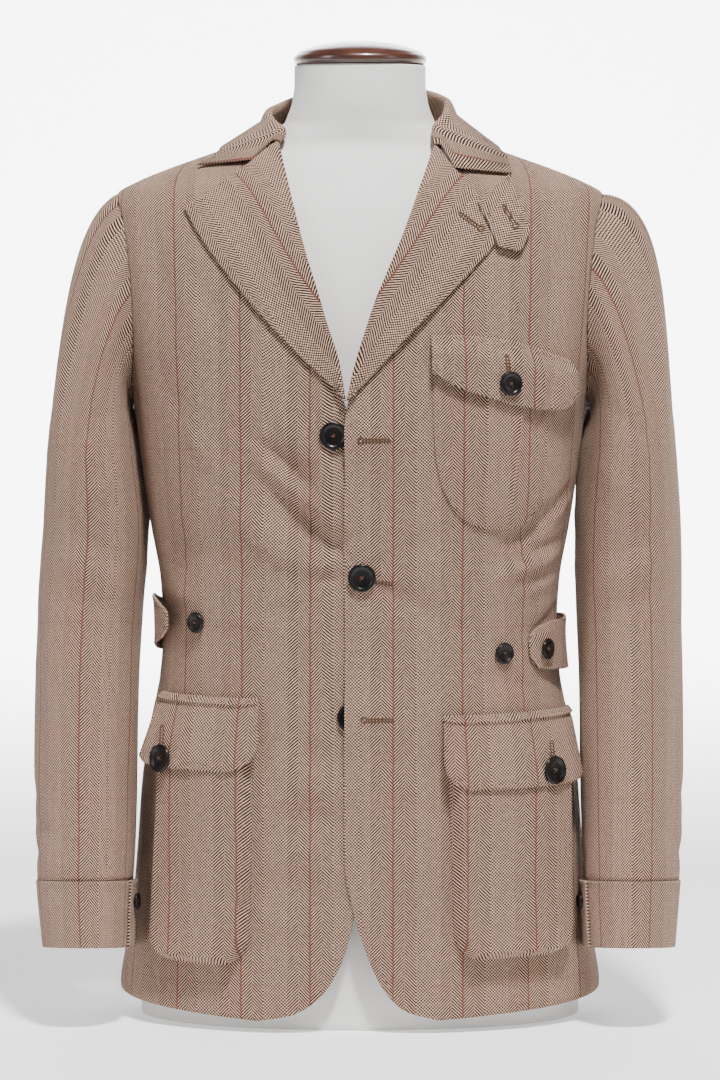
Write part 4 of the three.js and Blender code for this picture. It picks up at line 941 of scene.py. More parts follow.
FRONT_SEAM_ANGLE, BACK_SEAM_ANGLE = 118, 88
SLEEVE_GAP = 0.0006             # half a seam, in turns
GIRTH = 352                     # round the upper arm
ARM_STRIPE = 7                  # how far the sleeve's stripes are shifted outwards
SLEEVE_FOLDS = [  # degrees and height of both ends, half width, depth; degrees are about millimetres round
    (48, 640, 66, 470, 11, -4.2),
    (222, 556, 222, 430, 22, 8),
    (180, 556, 182, 430, 14, 3.8),
    (30, 600, 40, 500, 9, 2.2),
    (-8, 640, 4, 520, 10, -2.6),
    (70, 596, 84, 500, 8, -2.9),
    (84, 618, 96, 480, 10, 2.6),
    (-30, 650, -46, 540, 12, -2.2),
    (112, 520, 60, 486, 9, -2.6),
    (130, 470, 78, 438, 9, 2.2),
    (60, 420, 118, 392, 9, -2.9),
    (66, 392, 124, 368, 8, 2.2),
    (58, 366, 126, 344, 9, -3.2),
    (76, 336, 132, 322, 8, -2.1),
    (-66, 372, -18, 348, 11, -2.4),
    (-76, 330, -30, 318, 10, 1.9),
    (20, 330, 44, 170, 16, -2.4),
    (-14, 300, -22, 150, 18, 2.1),
    (6, 172, 66, 158, 8, -2.4),
    (-34, 150, 28, 142, 8, -2.1),
    (44, 140, 104, 134, 7, 1.9),
    (-20, 196, 30, 186, 10, -1.4),
    (-96, 560, -110, 470, 10, -3.2),
    (196, 440, 250, 420, 10, -2.9),
    (200, 380, 258, 362, 10, 2.6),
    (206, 350, 262, 338, 9, -2.6),
    (214, 250, 250, 170, 14, -2.6),
    (150, 300, 170, 190, 14, 2.2),
]


def around_cap(ways, turn):
    """Direction at a turn of the cap, the four named ways shared out by the squares of cosine and sine."""
    c, s = np.cos(2 * math.pi * turn)[..., None], np.sin(2 * math.pi * turn)[..., None]
    along = np.where(c > 0, ways["top"], ways["under"])
    across = np.where(s > 0, ways["front"], ways["back"])
    return along * c * c + across * s * s


def sleeve_ring(side, turn, z, grow=0.0):
    """Ring of the arm: a superellipse about a centre that comes forward down the arm, tilted with it."""
    def squared(value):
        return np.sign(value) * np.abs(value) ** (2 / ARM_SQUARENESS)

    angle = 2 * math.pi * turn
    middle = through(SLEEVE, "left" if side > 0 else "right", z)
    out = middle + (through(SLEEVE, "half", z) + grow) * squared(np.cos(angle))
    deep = -(through(SLEEVE, "deep", z) + grow) * squared(np.sin(angle))
    return np.stack([out, through(SLEEVE, "y", z) + deep, z - through(SLEEVE, "tilt", z) * deep], axis=-1)


def cap_point(side, turn, k):
    """Cap of the sleeve: a cubic from the armhole edge, at k 0, to the first ring of the arm, at k 1."""
    turn = turn - np.floor(turn)
    degrees = np.where(turn <= 0.5, turn, 1 - turn) * 360
    q, z = armhole(degrees, np.where(turn <= 0.5, -1, 1))
    start, flat = bare.at(q, z), bare.normal(q, z)
    centre = [start[..., 0], np.full(q.shape, 2.0), np.full(q.shape, ARMHOLE_MIDDLE)]
    inward = np.stack(centre, axis=-1) - start
    inward = unit(inward - flat * (inward * flat).sum(axis=-1, keepdims=True))
    start = start + inward * (2 * HALF_SEAM + 0.5)
    end = sleeve_ring(side, turn, np.full(turn.shape, float(CAP_END)))
    leave = around_cap(SQUARE_CAP_LEAVE if side > 0 else CAP_LEAVE, turn)
    k = k[..., None]
    rise = k * k * (3 - 2 * k)
    return (start * (1 - rise) + end * rise + leave * k * (1 - k) ** 2
            - around_cap(CAP_ARRIVE, turn) * k * k * (1 - k))


CAP_ROWS, ARM_ROWS = 56, 92


def arm_cut(side, turns, climb):
    """Cut coordinates on the arm: round it by turns, and up it by climb, a grid of millimetres."""
    u = np.broadcast_to(turns * GIRTH, climb.shape)
    return np.stack([(u + side * ARM_STRIPE + FAR) * MM, climb * MM], axis=-1)


def sleeve_face(turns, side):
    """Grid of the sleeve from the armhole to the cuff, its folds, and its cut coordinates."""
    shares = np.linspace(0, 1, CAP_ROWS)[:-1] ** 1.15
    heights = np.linspace(CAP_END, CUFF_TOP + HALF_SEAM, ARM_ROWS)
    turn_a, k = np.meshgrid(turns, shares)
    turn_b, z = np.meshgrid(turns, heights)
    face = np.concatenate([cap_point(side, turn_a, k), sleeve_ring(side, turn_b, z)])
    face = face * [side, 1, 1]
    normals = grid_normals(face)
    away = (face - [side * ARM_MIDDLE, -20, 0]) * [1, 1, 0]
    normals = normals * np.sign(np.einsum("ijk,ijk->", normals[CAP_ROWS:], away[CAP_ROWS:]))
    degrees = np.where(turns > 0.5, turns - (turns > 0.78), turns) * 360
    s, tall = np.broadcast_arrays(degrees, face[..., 2])
    fade = smooth(edge_distances(face)[0] / 30) * smooth((face[..., 2] - CUFF_TOP) / 16)
    face = face + normals * (fold_lift(s, tall, SLEEVE_FOLDS) * fade)[..., None]
    length = np.cumsum(np.linalg.norm(np.diff(face, axis=0, prepend=face[:1]), axis=2), axis=0)
    return face, normals, arm_cut(side, turns, length[-1:] - length + CUFF_TOP)


PLIES = {  # angles of the first and last column, and how many columns of points
    "upper": (-BACK_SEAM_ANGLE, FRONT_SEAM_ANGLE, 66),
    "under": (FRONT_SEAM_ANGLE, 360 - BACK_SEAM_ANGLE, 46),
}
for word, side in (("left", 1), ("right", -1)):
    for ply, (first, last, count) in PLIES.items():
        shares = crowded(count, GIRTH * (last - first) / 360)
        turns = mix(first / 360 + SLEEVE_GAP, last / 360 - SLEEVE_GAP, shares)
        face, out, place = sleeve_face(turns, side)
        sleeve = Cut(f"sleeve_{ply}_{word}_cloth", face, out, place, (), (2, 3))
        sleeve.sewn([f"front_{word}_cloth"], "hung", f"sleeve_{ply}_{word}", f"sleeve_{ply}_fore_{word}")

# ---------------------------------------------------------------- cuffs
# Applied cuff bands: a strip once round each sleeve end, topstitched along its top seam, whose end laps
# over its start on the inner side and is held there by a small button.
CUFF_START, CUFF_LAP = 0.5, 0.07
CUFF_PROUD = 1.2                # how far the band stands off the sleeve
CUFF_ROW = 4                    # distance of its stitching from the edge


def cuff_face(side, turns, heights):
    """Strip round the sleeve ring, a little proud, its last stretch rising over its first."""
    turn, z = np.meshgrid(turns, heights)
    done = (CUFF_START - turn - (1 - 1.6 * CUFF_LAP)) / (1.1 * CUFF_LAP)
    return sleeve_ring(side, turn, z, CUFF_PROUD + smooth(done) * (CLOTH + 0.7)) * [side, 1, 1]


for word, side in (("left", 1), ("right", -1)):
    turns = np.linspace(CUFF_START, CUFF_START - 1 - CUFF_LAP, 150)
    heights = mix(CUFF_TOP - HALF_SEAM, CUFF_HEM, crowded(22, CUFF_TOP - CUFF_HEM, (0.5, 1.1, 2.0, 3.0)))
    face = cuff_face(side, turns, heights)
    place = arm_cut(side, turns, np.broadcast_to(heights[:, None], face.shape[:2]))
    away = (face - [side * ARM_MIDDLE, -62, 0]) * [1, 1, 0]
    cuff = Cut(f"cuff_{word}_cloth", face, away, place, [(0, CUFF_ROW)], (0, 1))
    cuff.sewn([f"sleeve_upper_{word}_cloth"], "gathered", f"cuff_{word}")
    stitch_rows.append(cuff.row(0, CUFF_ROW))

# ---------------------------------------------------------------- lapels
# The facings of both fronts, turned back along the roll line up to the gorge seam with the collar. Their
# edges are stitched 6 mm in, and the left one carries a worked buttonhole.
LEFT_LAPEL = table("x z ex ez", [
    [-10.2, 529, -4, 536], [-4, 557, 22, 563], [4, 583, 46, 589], [14, 613, 72, 615],
    [26, 641, 96, 640], [38, 670, 110, 656], [51, 706, 121, 674], [62, 738, 121, 674],
])
RIGHT_LAPEL = table("x z ex ez", [
    [12.2, 529, 17, 536], [18, 562, 45, 562], [27, 590, 72, 589], [36, 620, 100, 621],
    [46, 652, 124, 652], [54, 682, 138, 673], [62, 714, 146, 688], [68, 741, 146, 688],
])
LEFT_GORGE = {"roll": (62, 738), "notch": (93, 702), "lapel_tip": (121, 674), "collar_tip": (127, 715)}
RIGHT_GORGE = {"roll": (68, 741), "notch": (108.5, 711.5), "lapel_tip": (146, 688), "collar_tip": (136, 722)}
NOTCH_AT = 0.5                  # share of the gorge line that ends at the notch
ROLL = table("step past high", [[0, -2.2, 0.1], [1, -0.4, 1.3], [2, 0, 2.9], [3, -1, 4.6], [4, -3.6, 5.5]])
ROLL_STEPS = np.linspace(0, 4, 15)


def lapel_place(rows, gorge, u, v):
    """x and z of the lapel: v from the break point to the gorge, u from the roll line to the outer edge."""
    index = np.arange(len(rows["x"]))
    keyed = dict(rows, i=index)
    at = np.asarray(v) * index[-1]
    roll = np.stack([through(keyed, name, at, key="i") for name in ("x", "z")], axis=-1)
    edge = np.stack([through(keyed, name, at, key="i") for name in ("ex", "ez")], axis=-1)
    u, pull = np.asarray(u)[..., None], (np.asarray(v) ** 3)[..., None]
    start, notch, tip = (np.array(gorge[name], float) for name in ("roll", "notch", "lapel_tip"))
    top = np.where(u < NOTCH_AT, mix(start, notch, u / NOTCH_AT),
                   mix(notch, tip, (u - NOTCH_AT) / (1 - NOTCH_AT)))
    return mix(roll, edge, u) + pull * (top - mix(start, tip, u))


def leaf_height(u, edge):
    """Height of the middle of the wall above the front, from the fold to the leaf's edge."""
    return mix(5.6, edge + CLOTH / 2, smooth(u * 1.5))


def lapel_face(side, rows, gorge, base_lift, edge_lift):
    v = np.linspace(0, 1, 130) ** 0.92
    leaf_u = np.concatenate([np.linspace(0.06, 0.9, 44), np.linspace(0.91, 1, 12)])
    roll = lapel_place(rows, gorge, 0 * v, v)
    inside = unit(lapel_place(rows, gorge, 0 * v + 0.1, v) - roll)
    lift = base_lift(v)[:, None]
    past = through(ROLL, "past", ROLL_STEPS, key="step")
    turned = roll[:, None] - past[:, None] * inside[:, None]
    u, tall = np.meshgrid(leaf_u, v)
    leaf = lapel_place(rows, gorge, u, tall)
    xz = np.concatenate([turned, leaf], axis=1)
    narrow = mix(0.9, 1, smooth(v / 0.16))[:, None]
    high = np.concatenate([np.broadcast_to(through(ROLL, "high", ROLL_STEPS, key="step"), turned.shape[:2]),
                           leaf_height(u, edge_lift) * narrow], axis=1)
    q = side * round_of_x(xz[..., 0], xz[..., 1])
    middle = on_cloth(q, xz[..., 1], lift + high)
    normals = grid_normals(middle)
    normals = normals * np.sign(np.einsum("ijk,ijk->", normals[:, 30:], worn.normal(q, xz[..., 1])[:, 30:]))
    return middle + normals * (CLOTH / 2), normals, q, xz


LAPEL_GRAIN = 0.57              # turn of the facing's grain, so that its stripes follow the outer edge
RUST_ON_LAPEL = {1: (59, 679), -1: (69, 664.6)}


def lapel_cut(q, z, side):
    """Cut coordinates of a facing, its grain turned about a point that its rust stripe passes through."""
    x, height = RUST_ON_LAPEL[side]
    at = cut_place(np.array([side * round_of_x(x, height)]), np.array([float(height)]))[0] / MM
    s, climb = at[0] - STRIPE_AT - FAR, at[1]
    return cut_place(q, z, s, side * LAPEL_GRAIN, (s, climb))


for word, side, rows, gorge, lift in (
        ("left", 1, LEFT_LAPEL, LEFT_GORGE, lambda v: lap_lift(0, mix(529, 738, v)) + 0.9),
        ("right", -1, RIGHT_LAPEL, RIGHT_GORGE, lambda v: 0.9 + 0 * v)):
    face, out, q, xz = lapel_face(side, rows, gorge, lift, 1.2)
    place = lapel_cut(q, xz[..., 1], side)
    lapel = Cut(f"lapel_{word}_cloth", face, out, place, [(3, EDGE_ROW), (1, 5)], (1, 3))
    lapel.sewn([f"front_{word}_cloth"], "folded", f"lapel_{word}")
    stitch_rows.append(lapel.row(3, EDGE_ROW, 0.03, 0.97))
    stitch_rows.append(lapel.row(1, 5, 0.62, 0.95))
    if word == "left":
        lapel_left = lapel

# ---------------------------------------------------------------- collar
# One collar, its stand sewn to the neckline and its leaf turned down over it, running to the notch with
# the lapel on either side. It is stitched 6 mm in, like the lapels.
COLLAR = [  # neck seam, roll in quarters and height, its dip on the right, leaf edge, and the edge's lift
    (2, 2, 796, 0, 2, 748, 2.8),
    (1.75, 1.75, 795, 2, 1.72, 746, 2.2),
    (1.5, 1.5, 792, 5, 1.46, 743, 1.8),
    (1.25, 1.26, 787, 8, 1.22, 740.5, 1.2),
    (1, 0.98, 779, 8, 0.98, 739, 1.8),
    (0.86, 0.78, 768, 5, 0.84, 736, 2.4),
    (0.68, 0.58, 755, 2, 0.75, 730, 3),
]
STAND_SHARES = np.array([0, 0.5, 1.0])
LEAF_SHARES = np.array([0.3, 0.55, 0.78, 1.0])
COLLAR_TURN = np.array([[0.7, 0.1], [0, 2], [1, 4], [4.2, 5]])
LEAF_BULGE = 1.2


def collar_station(side, neck, roll_q, roll_z, dip, edge_q, edge_z, lift):
    """Section of the collar: up the stand, over the turn, and down the leaf that lies on the cloth."""
    seam_z = neck_seam(neck) + 0.3
    roll_z = roll_z if side > 0 else roll_z - dip
    bulge = LEAF_BULGE if side > 0 else 0
    stand = on_cloth(side * mix(neck, roll_q, STAND_SHARES), mix(seam_z, roll_z - 3, STAND_SHARES),
                     np.full(3, -CLOTH / 2))
    turn = on_cloth(np.full(4, side * roll_q), roll_z - COLLAR_TURN[:, 0], COLLAR_TURN[:, 1])
    t = LEAF_SHARES
    down, high = COLLAR_TURN[-1]
    leaf = on_cloth(side * mix(roll_q, edge_q, t), mix(roll_z - down, edge_z, t),
                    mix(high, lift + CLOTH / 2, t) + bulge * np.sin(math.pi * t))
    return np.concatenate([stand, turn, leaf])


def collar_end(side, gorge, lift):
    """Last section: the gorge seam with the lapel, then the leaf's own end from the notch to its tip."""
    def at(wide, tall, high):
        return on_cloth(side * round_of_x(wide, tall), tall, lift + high)

    x, z = gorge["roll"]
    stand = at(x + 5 - 3 * STAND_SHARES, z + 1.2 * STAND_SHARES, np.full(3, -0.9))
    turn = at(np.array([x, x - 0.6, x + 0.4, x + 4.0]), np.array([z + 0.6, z + 0.6, z + 0.6, z]),
              np.array([1.2, 2.8, 4.4, leaf_height(0, 1.2)]))
    t = LEAF_SHARES
    along = np.where(t < NOTCH_AT, t / NOTCH_AT, (t - NOTCH_AT) / (1 - NOTCH_AT))[:, None]
    start, notch, tip = (np.array(gorge[name], float) for name in ("roll", "notch", "collar_tip"))
    xz = np.where(t[:, None] < NOTCH_AT, mix(start, notch, along), mix(notch, tip, along))
    leaf = at(xz[:, 0], xz[:, 1] + 0.5, leaf_height(t, 2))
    return np.concatenate([stand, turn, leaf])


def refined(points, counts, axis):
    """More sections between the given ones, each coordinate by a cubic that never overshoots them."""
    moved = np.moveaxis(points, axis, 0)
    index = np.arange(len(moved))
    fine = fine_steps(counts, len(moved) - 1)
    flat = moved.reshape(len(moved), -1).T
    made = np.stack([through({"i": index, "v": line}, "v", fine, key="i") for line in flat], axis=1)
    return np.moveaxis(made.reshape(len(fine), *moved.shape[1:]), 0, axis)


halves = [np.array([collar_station(side, *row) for row in COLLAR] + [collar_end(side, gorge, 0.9)])
          for side, gorge in ((1, LEFT_GORGE), (-1, RIGHT_GORGE))]
sections = np.concatenate([halves[0][:0:-1], halves[1]])
sections = refined(sections, [3, 3, 6, 7, 8, 10, 8], 1)
sections = refined(sections, [12] * (len(sections) - 1), 0)
normals = grid_normals(sections)
away = sections - np.array([0, 0, 760])
normals = normals * np.sign(np.einsum("ijk,ijk->", normals[:, -12:], away[:, -12:] * [1, 1, 0.1]))
face = sections + normals * (CLOTH / 2)
length = np.cumsum(np.linalg.norm(np.diff(face[:, -1:], axis=0, prepend=face[:1, -1:]), axis=2), axis=0)
down = np.cumsum(np.linalg.norm(np.diff(face, axis=1, prepend=face[:, :1]), axis=2), axis=1)
place = np.stack([(np.broadcast_to(length, down.shape) + 9) * MM, (300 - down) * MM], axis=-1)
collar = Cut("collar_cloth", face, normals, place, [(3, EDGE_ROW)], (0, 1, 3))
collar.sewn(["back_left_cloth", "back_right_cloth"], "folded", "collar")
stitch_rows.append(collar.row(3, EDGE_ROW, 0.03, 0.97))

# ---------------------------------------------------------------- throat tab
# A pointed tab of doubled cloth under the left end of the collar, which buttons across the throat when
# the collar is turned up. Its edges are stitched 4 mm in.
TAB_WIDE = 29
TAB_FROM, TAB_TIP = np.array([110.5, 702.0]), np.array([131.5, 652.0])
TAB_SHOULDER = 0.8              # share of the length where its point begins


def laid(name, u, v, place, height, thick=CLOTH, rust_at=LEFT_RUST, grain=0.0, about=(0, 0), **edges):
    """A piece that lies on the worn cloth: place gives quarters and height, height its underside's lift."""
    u, v = np.meshgrid(u, v)
    q, z = place(u, v)
    face = on_cloth(q, z, height(u, v) + thick)
    return Cut(name, face, worn.normal(q, z), cut_place(q, z, rust_at, grain, about), thick=thick, **edges)


def throat_tab_place(u, v):
    """Down the tab's line by v and across it by u, drawn in to the point past its shoulder."""
    along = TAB_TIP - TAB_FROM
    across = np.array([-along[1], along[0]]) / np.hypot(*along)
    wide = TAB_WIDE * np.where(v < TAB_SHOULDER, 1, mix(1, 0.14, (v - TAB_SHOULDER) / (1 - TAB_SHOULDER)))
    x = TAB_FROM[0] + along[0] * v + across[0] * u * wide / 2
    z = TAB_FROM[1] + along[1] * v + across[1] * u * wide / 2 + (1 - v) * 5.5 * u
    return round_of_x(x, z), z


straight = crowded(46, 55)[:-3]
throat_v = np.concatenate([straight * TAB_SHOULDER / straight[-1], np.linspace(TAB_SHOULDER, 1, 18)[1:]])
throat_tab = laid("throat_tab_cloth", mix(-1, 1, crowded(28, TAB_WIDE)), throat_v, throat_tab_place,
                  lambda u, v: mix(5, 4.4, v), grain=0.5, about=(118, 676), stitched=[(2, 4), (3, 4)])
throat_tab.sewn(["front_left_cloth"], "laid", "throat_tab")
stitch_rows += [throat_tab.row(2, 4, 0.06, 0.9), throat_tab.row(3, 4, 0.06, 0.9)]

# ---------------------------------------------------------------- chest pocket
# A round-bottomed patch pocket on the left chest with a box pleat down its middle, under a curved
# flap that buttons. Both are stitched close to the edge.
CHEST_POCKET = table("z inner from to outer", [
    [556, 61, 104.4, 137.7, 155.5], [524, 60.5, 103.5, 136, 155.5], [489, 62, 102, 131.5, 155],
    [464, 66, 100.6, 128.5, 153.5], [445, 73.5, 99.8, 126, 150.5], [432, 84, 99.6, 124, 145],
    [425, 95, 102, 122, 138.5], [421, 109, 112, 121, 130],
])
PLEAT = (0.385, 0.635)          # columns at which the pleat's two folds lie
PLEAT_RISE = 2
CHEST_FLAP = table("x top low", [
    [58.5, 583, 553], [64, 583, 549], [76, 583, 542], [90, 582.5, 536], [108, 581, 530.5],
    [125, 578, 525.5], [142, 574, 521.8], [156, 569, 520], [167, 565, 521.5], [174, 562.5, 528],
    [177, 561, 536],
])


def chest_place(u, z):
    """Columns between the edges and the pleat's folds, each third shared out evenly."""
    lines = [through(CHEST_POCKET, name, z) for name in ("inner", "from", "to", "outer")]
    x = np.where(u < PLEAT[0], mix(lines[0], lines[1], u / PLEAT[0]),
                 np.where(u > PLEAT[1], mix(lines[2], lines[3], (u - PLEAT[1]) / (1 - PLEAT[1])),
                          mix(lines[1], lines[2], (u - PLEAT[0]) / (PLEAT[1] - PLEAT[0]))))
    return round_of_x(x, z), z


def chest_height(u, z):
    """The patch bellies by 1.2 mm; between its folds the pleat stands up, each fold rolled over 0.9 mm."""
    rise = smooth((u - PLEAT[0]) / 0.012) * smooth((PLEAT[1] - u) / 0.012)
    fold = np.exp(-((u - PLEAT[0] - 0.02) / 0.013) ** 2) + np.exp(-((u - PLEAT[1] + 0.02) / 0.013) ** 2)
    shape = (PLEAT_RISE * rise + 0.9 * fold - 0.7 * rise) * smooth((z - 424) / 12)
    return 0.45 + shape + 1.2 * np.sin(math.pi * u) * smooth((z - 430) / 60)


near_folds = [PLEAT[0] + 0.05 * np.linspace(-0.3, 1, 9), PLEAT[1] - 0.05 * np.linspace(1, -0.3, 9)]
pleat_u = np.sort(np.concatenate([crowded(54, 96), *near_folds]))
chest_z = mix(556, 421, np.linspace(0, 1, 96) ** 0.9)
chest = laid("chest_pocket_cloth", pleat_u, chest_z, chest_place, chest_height,
             stitched=[(2, 3), (3, 3), (1, 3)], turned=(1, 2, 3))
chest.sewn(["front_left_cloth"], "laid", "chest_pocket")
stitch_rows += [chest.row(2, 2.5, 0.2, 0.93), chest.row(3, 2.5, 0.2, 0.93), chest.row(1, 2.5, 0.1, 0.9)]


def chest_flap_place(x, v):
    z = mix(through(CHEST_FLAP, "top", x, key="x"), through(CHEST_FLAP, "low", x, key="x"), v)
    return round_of_x(x, z), z


def chest_flap_height(x, v):
    """Lies flat on its seam and rises over the pocket."""
    return mix(0.5, 6.6, smooth(v * 2.6)) + 0.6 * smooth(v / 0.08) + 0 * x


chest_x = np.concatenate([np.linspace(58.5, 64, 9)[:-1], np.linspace(64, 168, 82)[:-1],
                          np.linspace(168, 177, 14)])
chest_flap = laid("chest_flap_cloth", chest_x, crowded(30, 45), chest_flap_place, chest_flap_height,
                  stitched=[(1, 5), (2, 5), (3, 5), (0, 4)])
chest_flap.sewn(["front_left_cloth"], "laid", "chest_flap")
stitch_rows += [chest_flap.row(1, 5, 0.05, 0.95), chest_flap.row(0, 4), chest_flap.row(2, 4, 0.1, 0.85)]

# ---------------------------------------------------------------- bellows pockets
# A large patch pocket on each hip whose sides stand 12 mm off the front on gussets, pinched and stitched
# round the edge of its face. A flap with a stitched band at its seam covers the mouth and buttons.
BELLOWS = 12
GUSSET = 7                      # width over which the edge rises
POCKET_CORNER = 23
FLAP_DROP = 62
INNER_CORNER, OUTER_CORNER = 25, 8     # radii of a flap's lower corners
MOUTH = 14                      # from the flap's seam down to the pocket's mouth
BAND = 0.11                     # share of the drop that the stitched band takes
POCKETS = {
    "left": dict(side=1, seam=266, bottom=61, inner=(72, 79), outer=(171.5, 175), rust=LEFT_RUST),
    "right": dict(side=-1, seam=280, bottom=56, inner=(87, 94), outer=(162, 174), rust=RIGHT_RUST),
}
FLARE = {"left": 0, "right": 6}         # how far a flap's outer corner stands past its seam


def mouth_share(below):
    return np.minimum(1, (below + 3) / 60)


def bellows_pocket(word, side, seam, bottom, inner, outer, rust):
    """Patch between two edges that curve in at the bottom corners, its height rising over the gusset."""
    def edges(z):
        t = (seam - z) / (seam - bottom)
        up = np.minimum(POCKET_CORNER, z - bottom)
        corner = POCKET_CORNER - np.sqrt(POCKET_CORNER ** 2 - (POCKET_CORNER - up) ** 2)
        return mix(inner[0], inner[1], t) + corner, mix(outer[0], outer[1], t) - corner * 0.8

    def place(u, z):
        first, last = edges(z)
        return side * round_of_x(mix(first, last, u), z), z

    def height(u, z):
        first, last = edges(z)
        wide = last - first
        from_edge = np.minimum.reduce([u * wide, (1 - u) * wide * 1.25, z - bottom])
        pinch = 0.9 * np.exp(-((from_edge - GUSSET - 0.5) / 1.5) ** 2)
        sag = -1.6 * np.exp(-((z - bottom - 62) / 26) ** 2) * np.sin(math.pi * u) ** 2
        drape = 0.9 * np.sin(2.3 * math.pi * u + side) * smooth((from_edge - 14) / 20)
        drape = drape * smooth((z - bottom) / 90)
        return 0.45 + (BELLOWS + pinch) * smooth(from_edge / GUSSET) * mouth_share(seam - z) + sag + drape

    first, last = edges(np.array(float(seam)))
    over_gusset = (0.6, 1.4, 2.4, 3.4, 4.6, 5.8, 7, 8.2, 9.6, 11.2)
    u = crowded(60, float(last - first), over_gusset)
    drop = seam - MOUTH - bottom
    z = seam - MOUTH - crowded(92, drop, over_gusset) * drop
    return laid(f"pocket_{word}_cloth", u, z, place, height, rust_at=rust, stitched=(), turned=(1, 2, 3))


def pocket_flap(word, side, seam, bottom, inner, outer, rust):
    """Flap whose lower corners are round, rising over the pocket's mouth, with a raised band at its seam."""
    wide = outer[0] - inner[0] + 8

    def low_edge(u):
        short = sum(radius - np.sqrt(radius ** 2 - np.maximum(0, radius - away * wide) ** 2)
                    for away, radius in ((u, INNER_CORNER), (1 - u, OUTER_CORNER)))
        return FLAP_DROP - short

    def place(u, v):
        z = seam - v * low_edge(u)
        t = (seam - z) / (seam - bottom)
        x = mix(mix(inner[0], inner[1], t) - 3 - 3 * v, mix(outer[0], outer[1], t) + 2 + FLARE[word] * v, u)
        return side * round_of_x(x, z), z

    def height(u, v):
        below = v * low_edge(u)
        groove = np.exp(-((v - BAND - 0.04) / 0.02) ** 2)
        band = 2.2 * smooth(v / 0.02) * smooth((BAND + 0.012 - v) / 0.02) - groove
        return mix(0.45, 3.4, smooth(below / 8)) + BELLOWS * mouth_share(below) + band

    u = crowded(62, wide, (0.4, 0.9, 1.6, 2.6, 3.8, 5.2, 6.8, 8.6))
    v = np.concatenate([np.linspace(0, 0.14, 20)[:-1], np.linspace(0.14, 0.9, 26)[:-1],
                        np.linspace(0.9, 1, 10)])
    return laid(f"pocket_flap_{word}_cloth", u, v, place, height, rust_at=rust,
                stitched=[(1, 5), (2, 5), (3, 5)])


flaps = {}
for word, sizes in POCKETS.items():
    pocket = bellows_pocket(word, **sizes)
    pocket.sewn([f"front_{word}_cloth"], "laid", f"pocket_{word}")
    for side, start, end in ((2, 0.22, 0.88), (3, 0.22, 0.88), (1, 0.14, 0.86)):
        stitch_rows.append(pocket.row(side, GUSSET + 4.5, start, end))
    flap = pocket_flap(word, **sizes)
    flap.sewn([f"pocket_{word}_cloth"], "laid", f"pocket_flap_{word}")
    stitch_rows += [flap.row(1, 5, 0.12, 0.88), flap.row(2, 5, 0.2, 0.8), flap.row(3, 5, 0.2, 0.8),
                    flap.row(0, 5.4, 0.03, 0.97)]
    flaps[word] = flap

# ---------------------------------------------------------------- waist tabs
# A tab at each side of the waist, sewn into the back and buttoned forwards to draw the waist in. The left
# one is buttoned and bulges over the side; the right one is undone and its end curls off the cloth.
LEFT_TAB = table("q lift z half", [
    [1.3, 0.6, 318, 22], [1.15, 2.5, 318, 22.5], [1.02, 5.5, 318.5, 23], [0.9, 6, 318.5, 22],
    [0.78, 3.6, 318, 20], [0.7, 2, 318, 17.5], [0.665, 1.4, 318, 12], [0.65, 1.2, 318, 6],
])
RIGHT_TAB = table("q lift z half", [
    [1.3, 0.6, 328, 22], [1.15, 2.5, 330, 22.5], [1.03, 3.6, 334, 23], [0.93, 5, 338, 23],
    [0.85, 8.6, 341, 22], [0.77, 14, 343, 20], [0.72, 15.2, 344, 14], [0.7, 15.6, 344, 7],
])
TAB_THICK = 2.2


def waist_tab(word, side, rows):
    """Tab through the rows of its table, which run forwards from the back; its grain lies along it."""
    def place(u, q):
        return side * q, through(rows, "z", q, key="q") + u * through(rows, "half", q, key="q")

    def height(u, q):
        return through(rows, "lift", q, key="q")

    start, bend, tip = rows["q"][[0, 5, 7]]
    stations = np.concatenate([np.linspace(start, bend, 74)[:-1], np.linspace(bend, tip, 16)])
    return laid(f"waist_tab_{word}_cloth", mix(-1, 1, crowded(26, 45)), stations, place, height,
                thick=TAB_THICK, rust_at=side * 100, grain=math.pi / 2, about=(side * 240, 320),
                stitched=[(2, 4), (3, 4)])


for word, side, rows in (("left", 1, LEFT_TAB), ("right", -1, RIGHT_TAB)):
    tab = waist_tab(word, side, rows)
    tab.sewn([f"back_{word}_cloth", f"front_{word}_cloth"], "hung", f"waist_tab_{word}")
    stitch_rows += [tab.row(2, 4, 0.02, 0.93), tab.row(3, 4, 0.02, 0.93)]

# ---------------------------------------------------------------- buttons
# Near-black polished horn: turned discs with a raised rim and a dished middle, four drilled holes, and
# tan silk crossing between them. Each is sewn through the cloth on a short shank.
BUTTON_TURNS = 64
HOLE_RADIUS, HOLE_OUT = 0.095, 0.19     # in shares of the button's radius
BUTTON_PROFILE = table("r z", [         # shares of the radius and of the thickness, from the middle out
    [0, 0.60], [0.12, 0.60], [0.3, 0.61], [0.5, 0.64], [0.62, 0.69], [0.7, 0.80], [0.76, 0.94],
    [0.84, 1.0], [0.91, 0.985], [0.965, 0.90], [1.0, 0.66], [0.995, 0.42], [0.93, 0.2], [0.8, 0.06],
    [0.7, 0.0],
])

horn = Finish("polished_horn", Coat_Roughness=0.12, Specular_IOR_Level=0.22)
place = horn.object_place()
clouds = horn.noise(place, 130, 4, (1, 1, 0.4))
scuffs = horn.noise(place, 900, 2, (1, 0.3, 1))
streaks = (clouds * 1.8 - 0.75).clamped()
horn.feed("Base Color", horn.mix(streaks, (0.0035, 0.0032, 0.0034), (0.016, 0.010, 0.008)))
horn.feed("Roughness", scuffs * 0.16 + 0.22)
horn.feed("Coat Weight", clouds * 0.1 + 0.08)
horn.bump(scuffs, 0.00003)

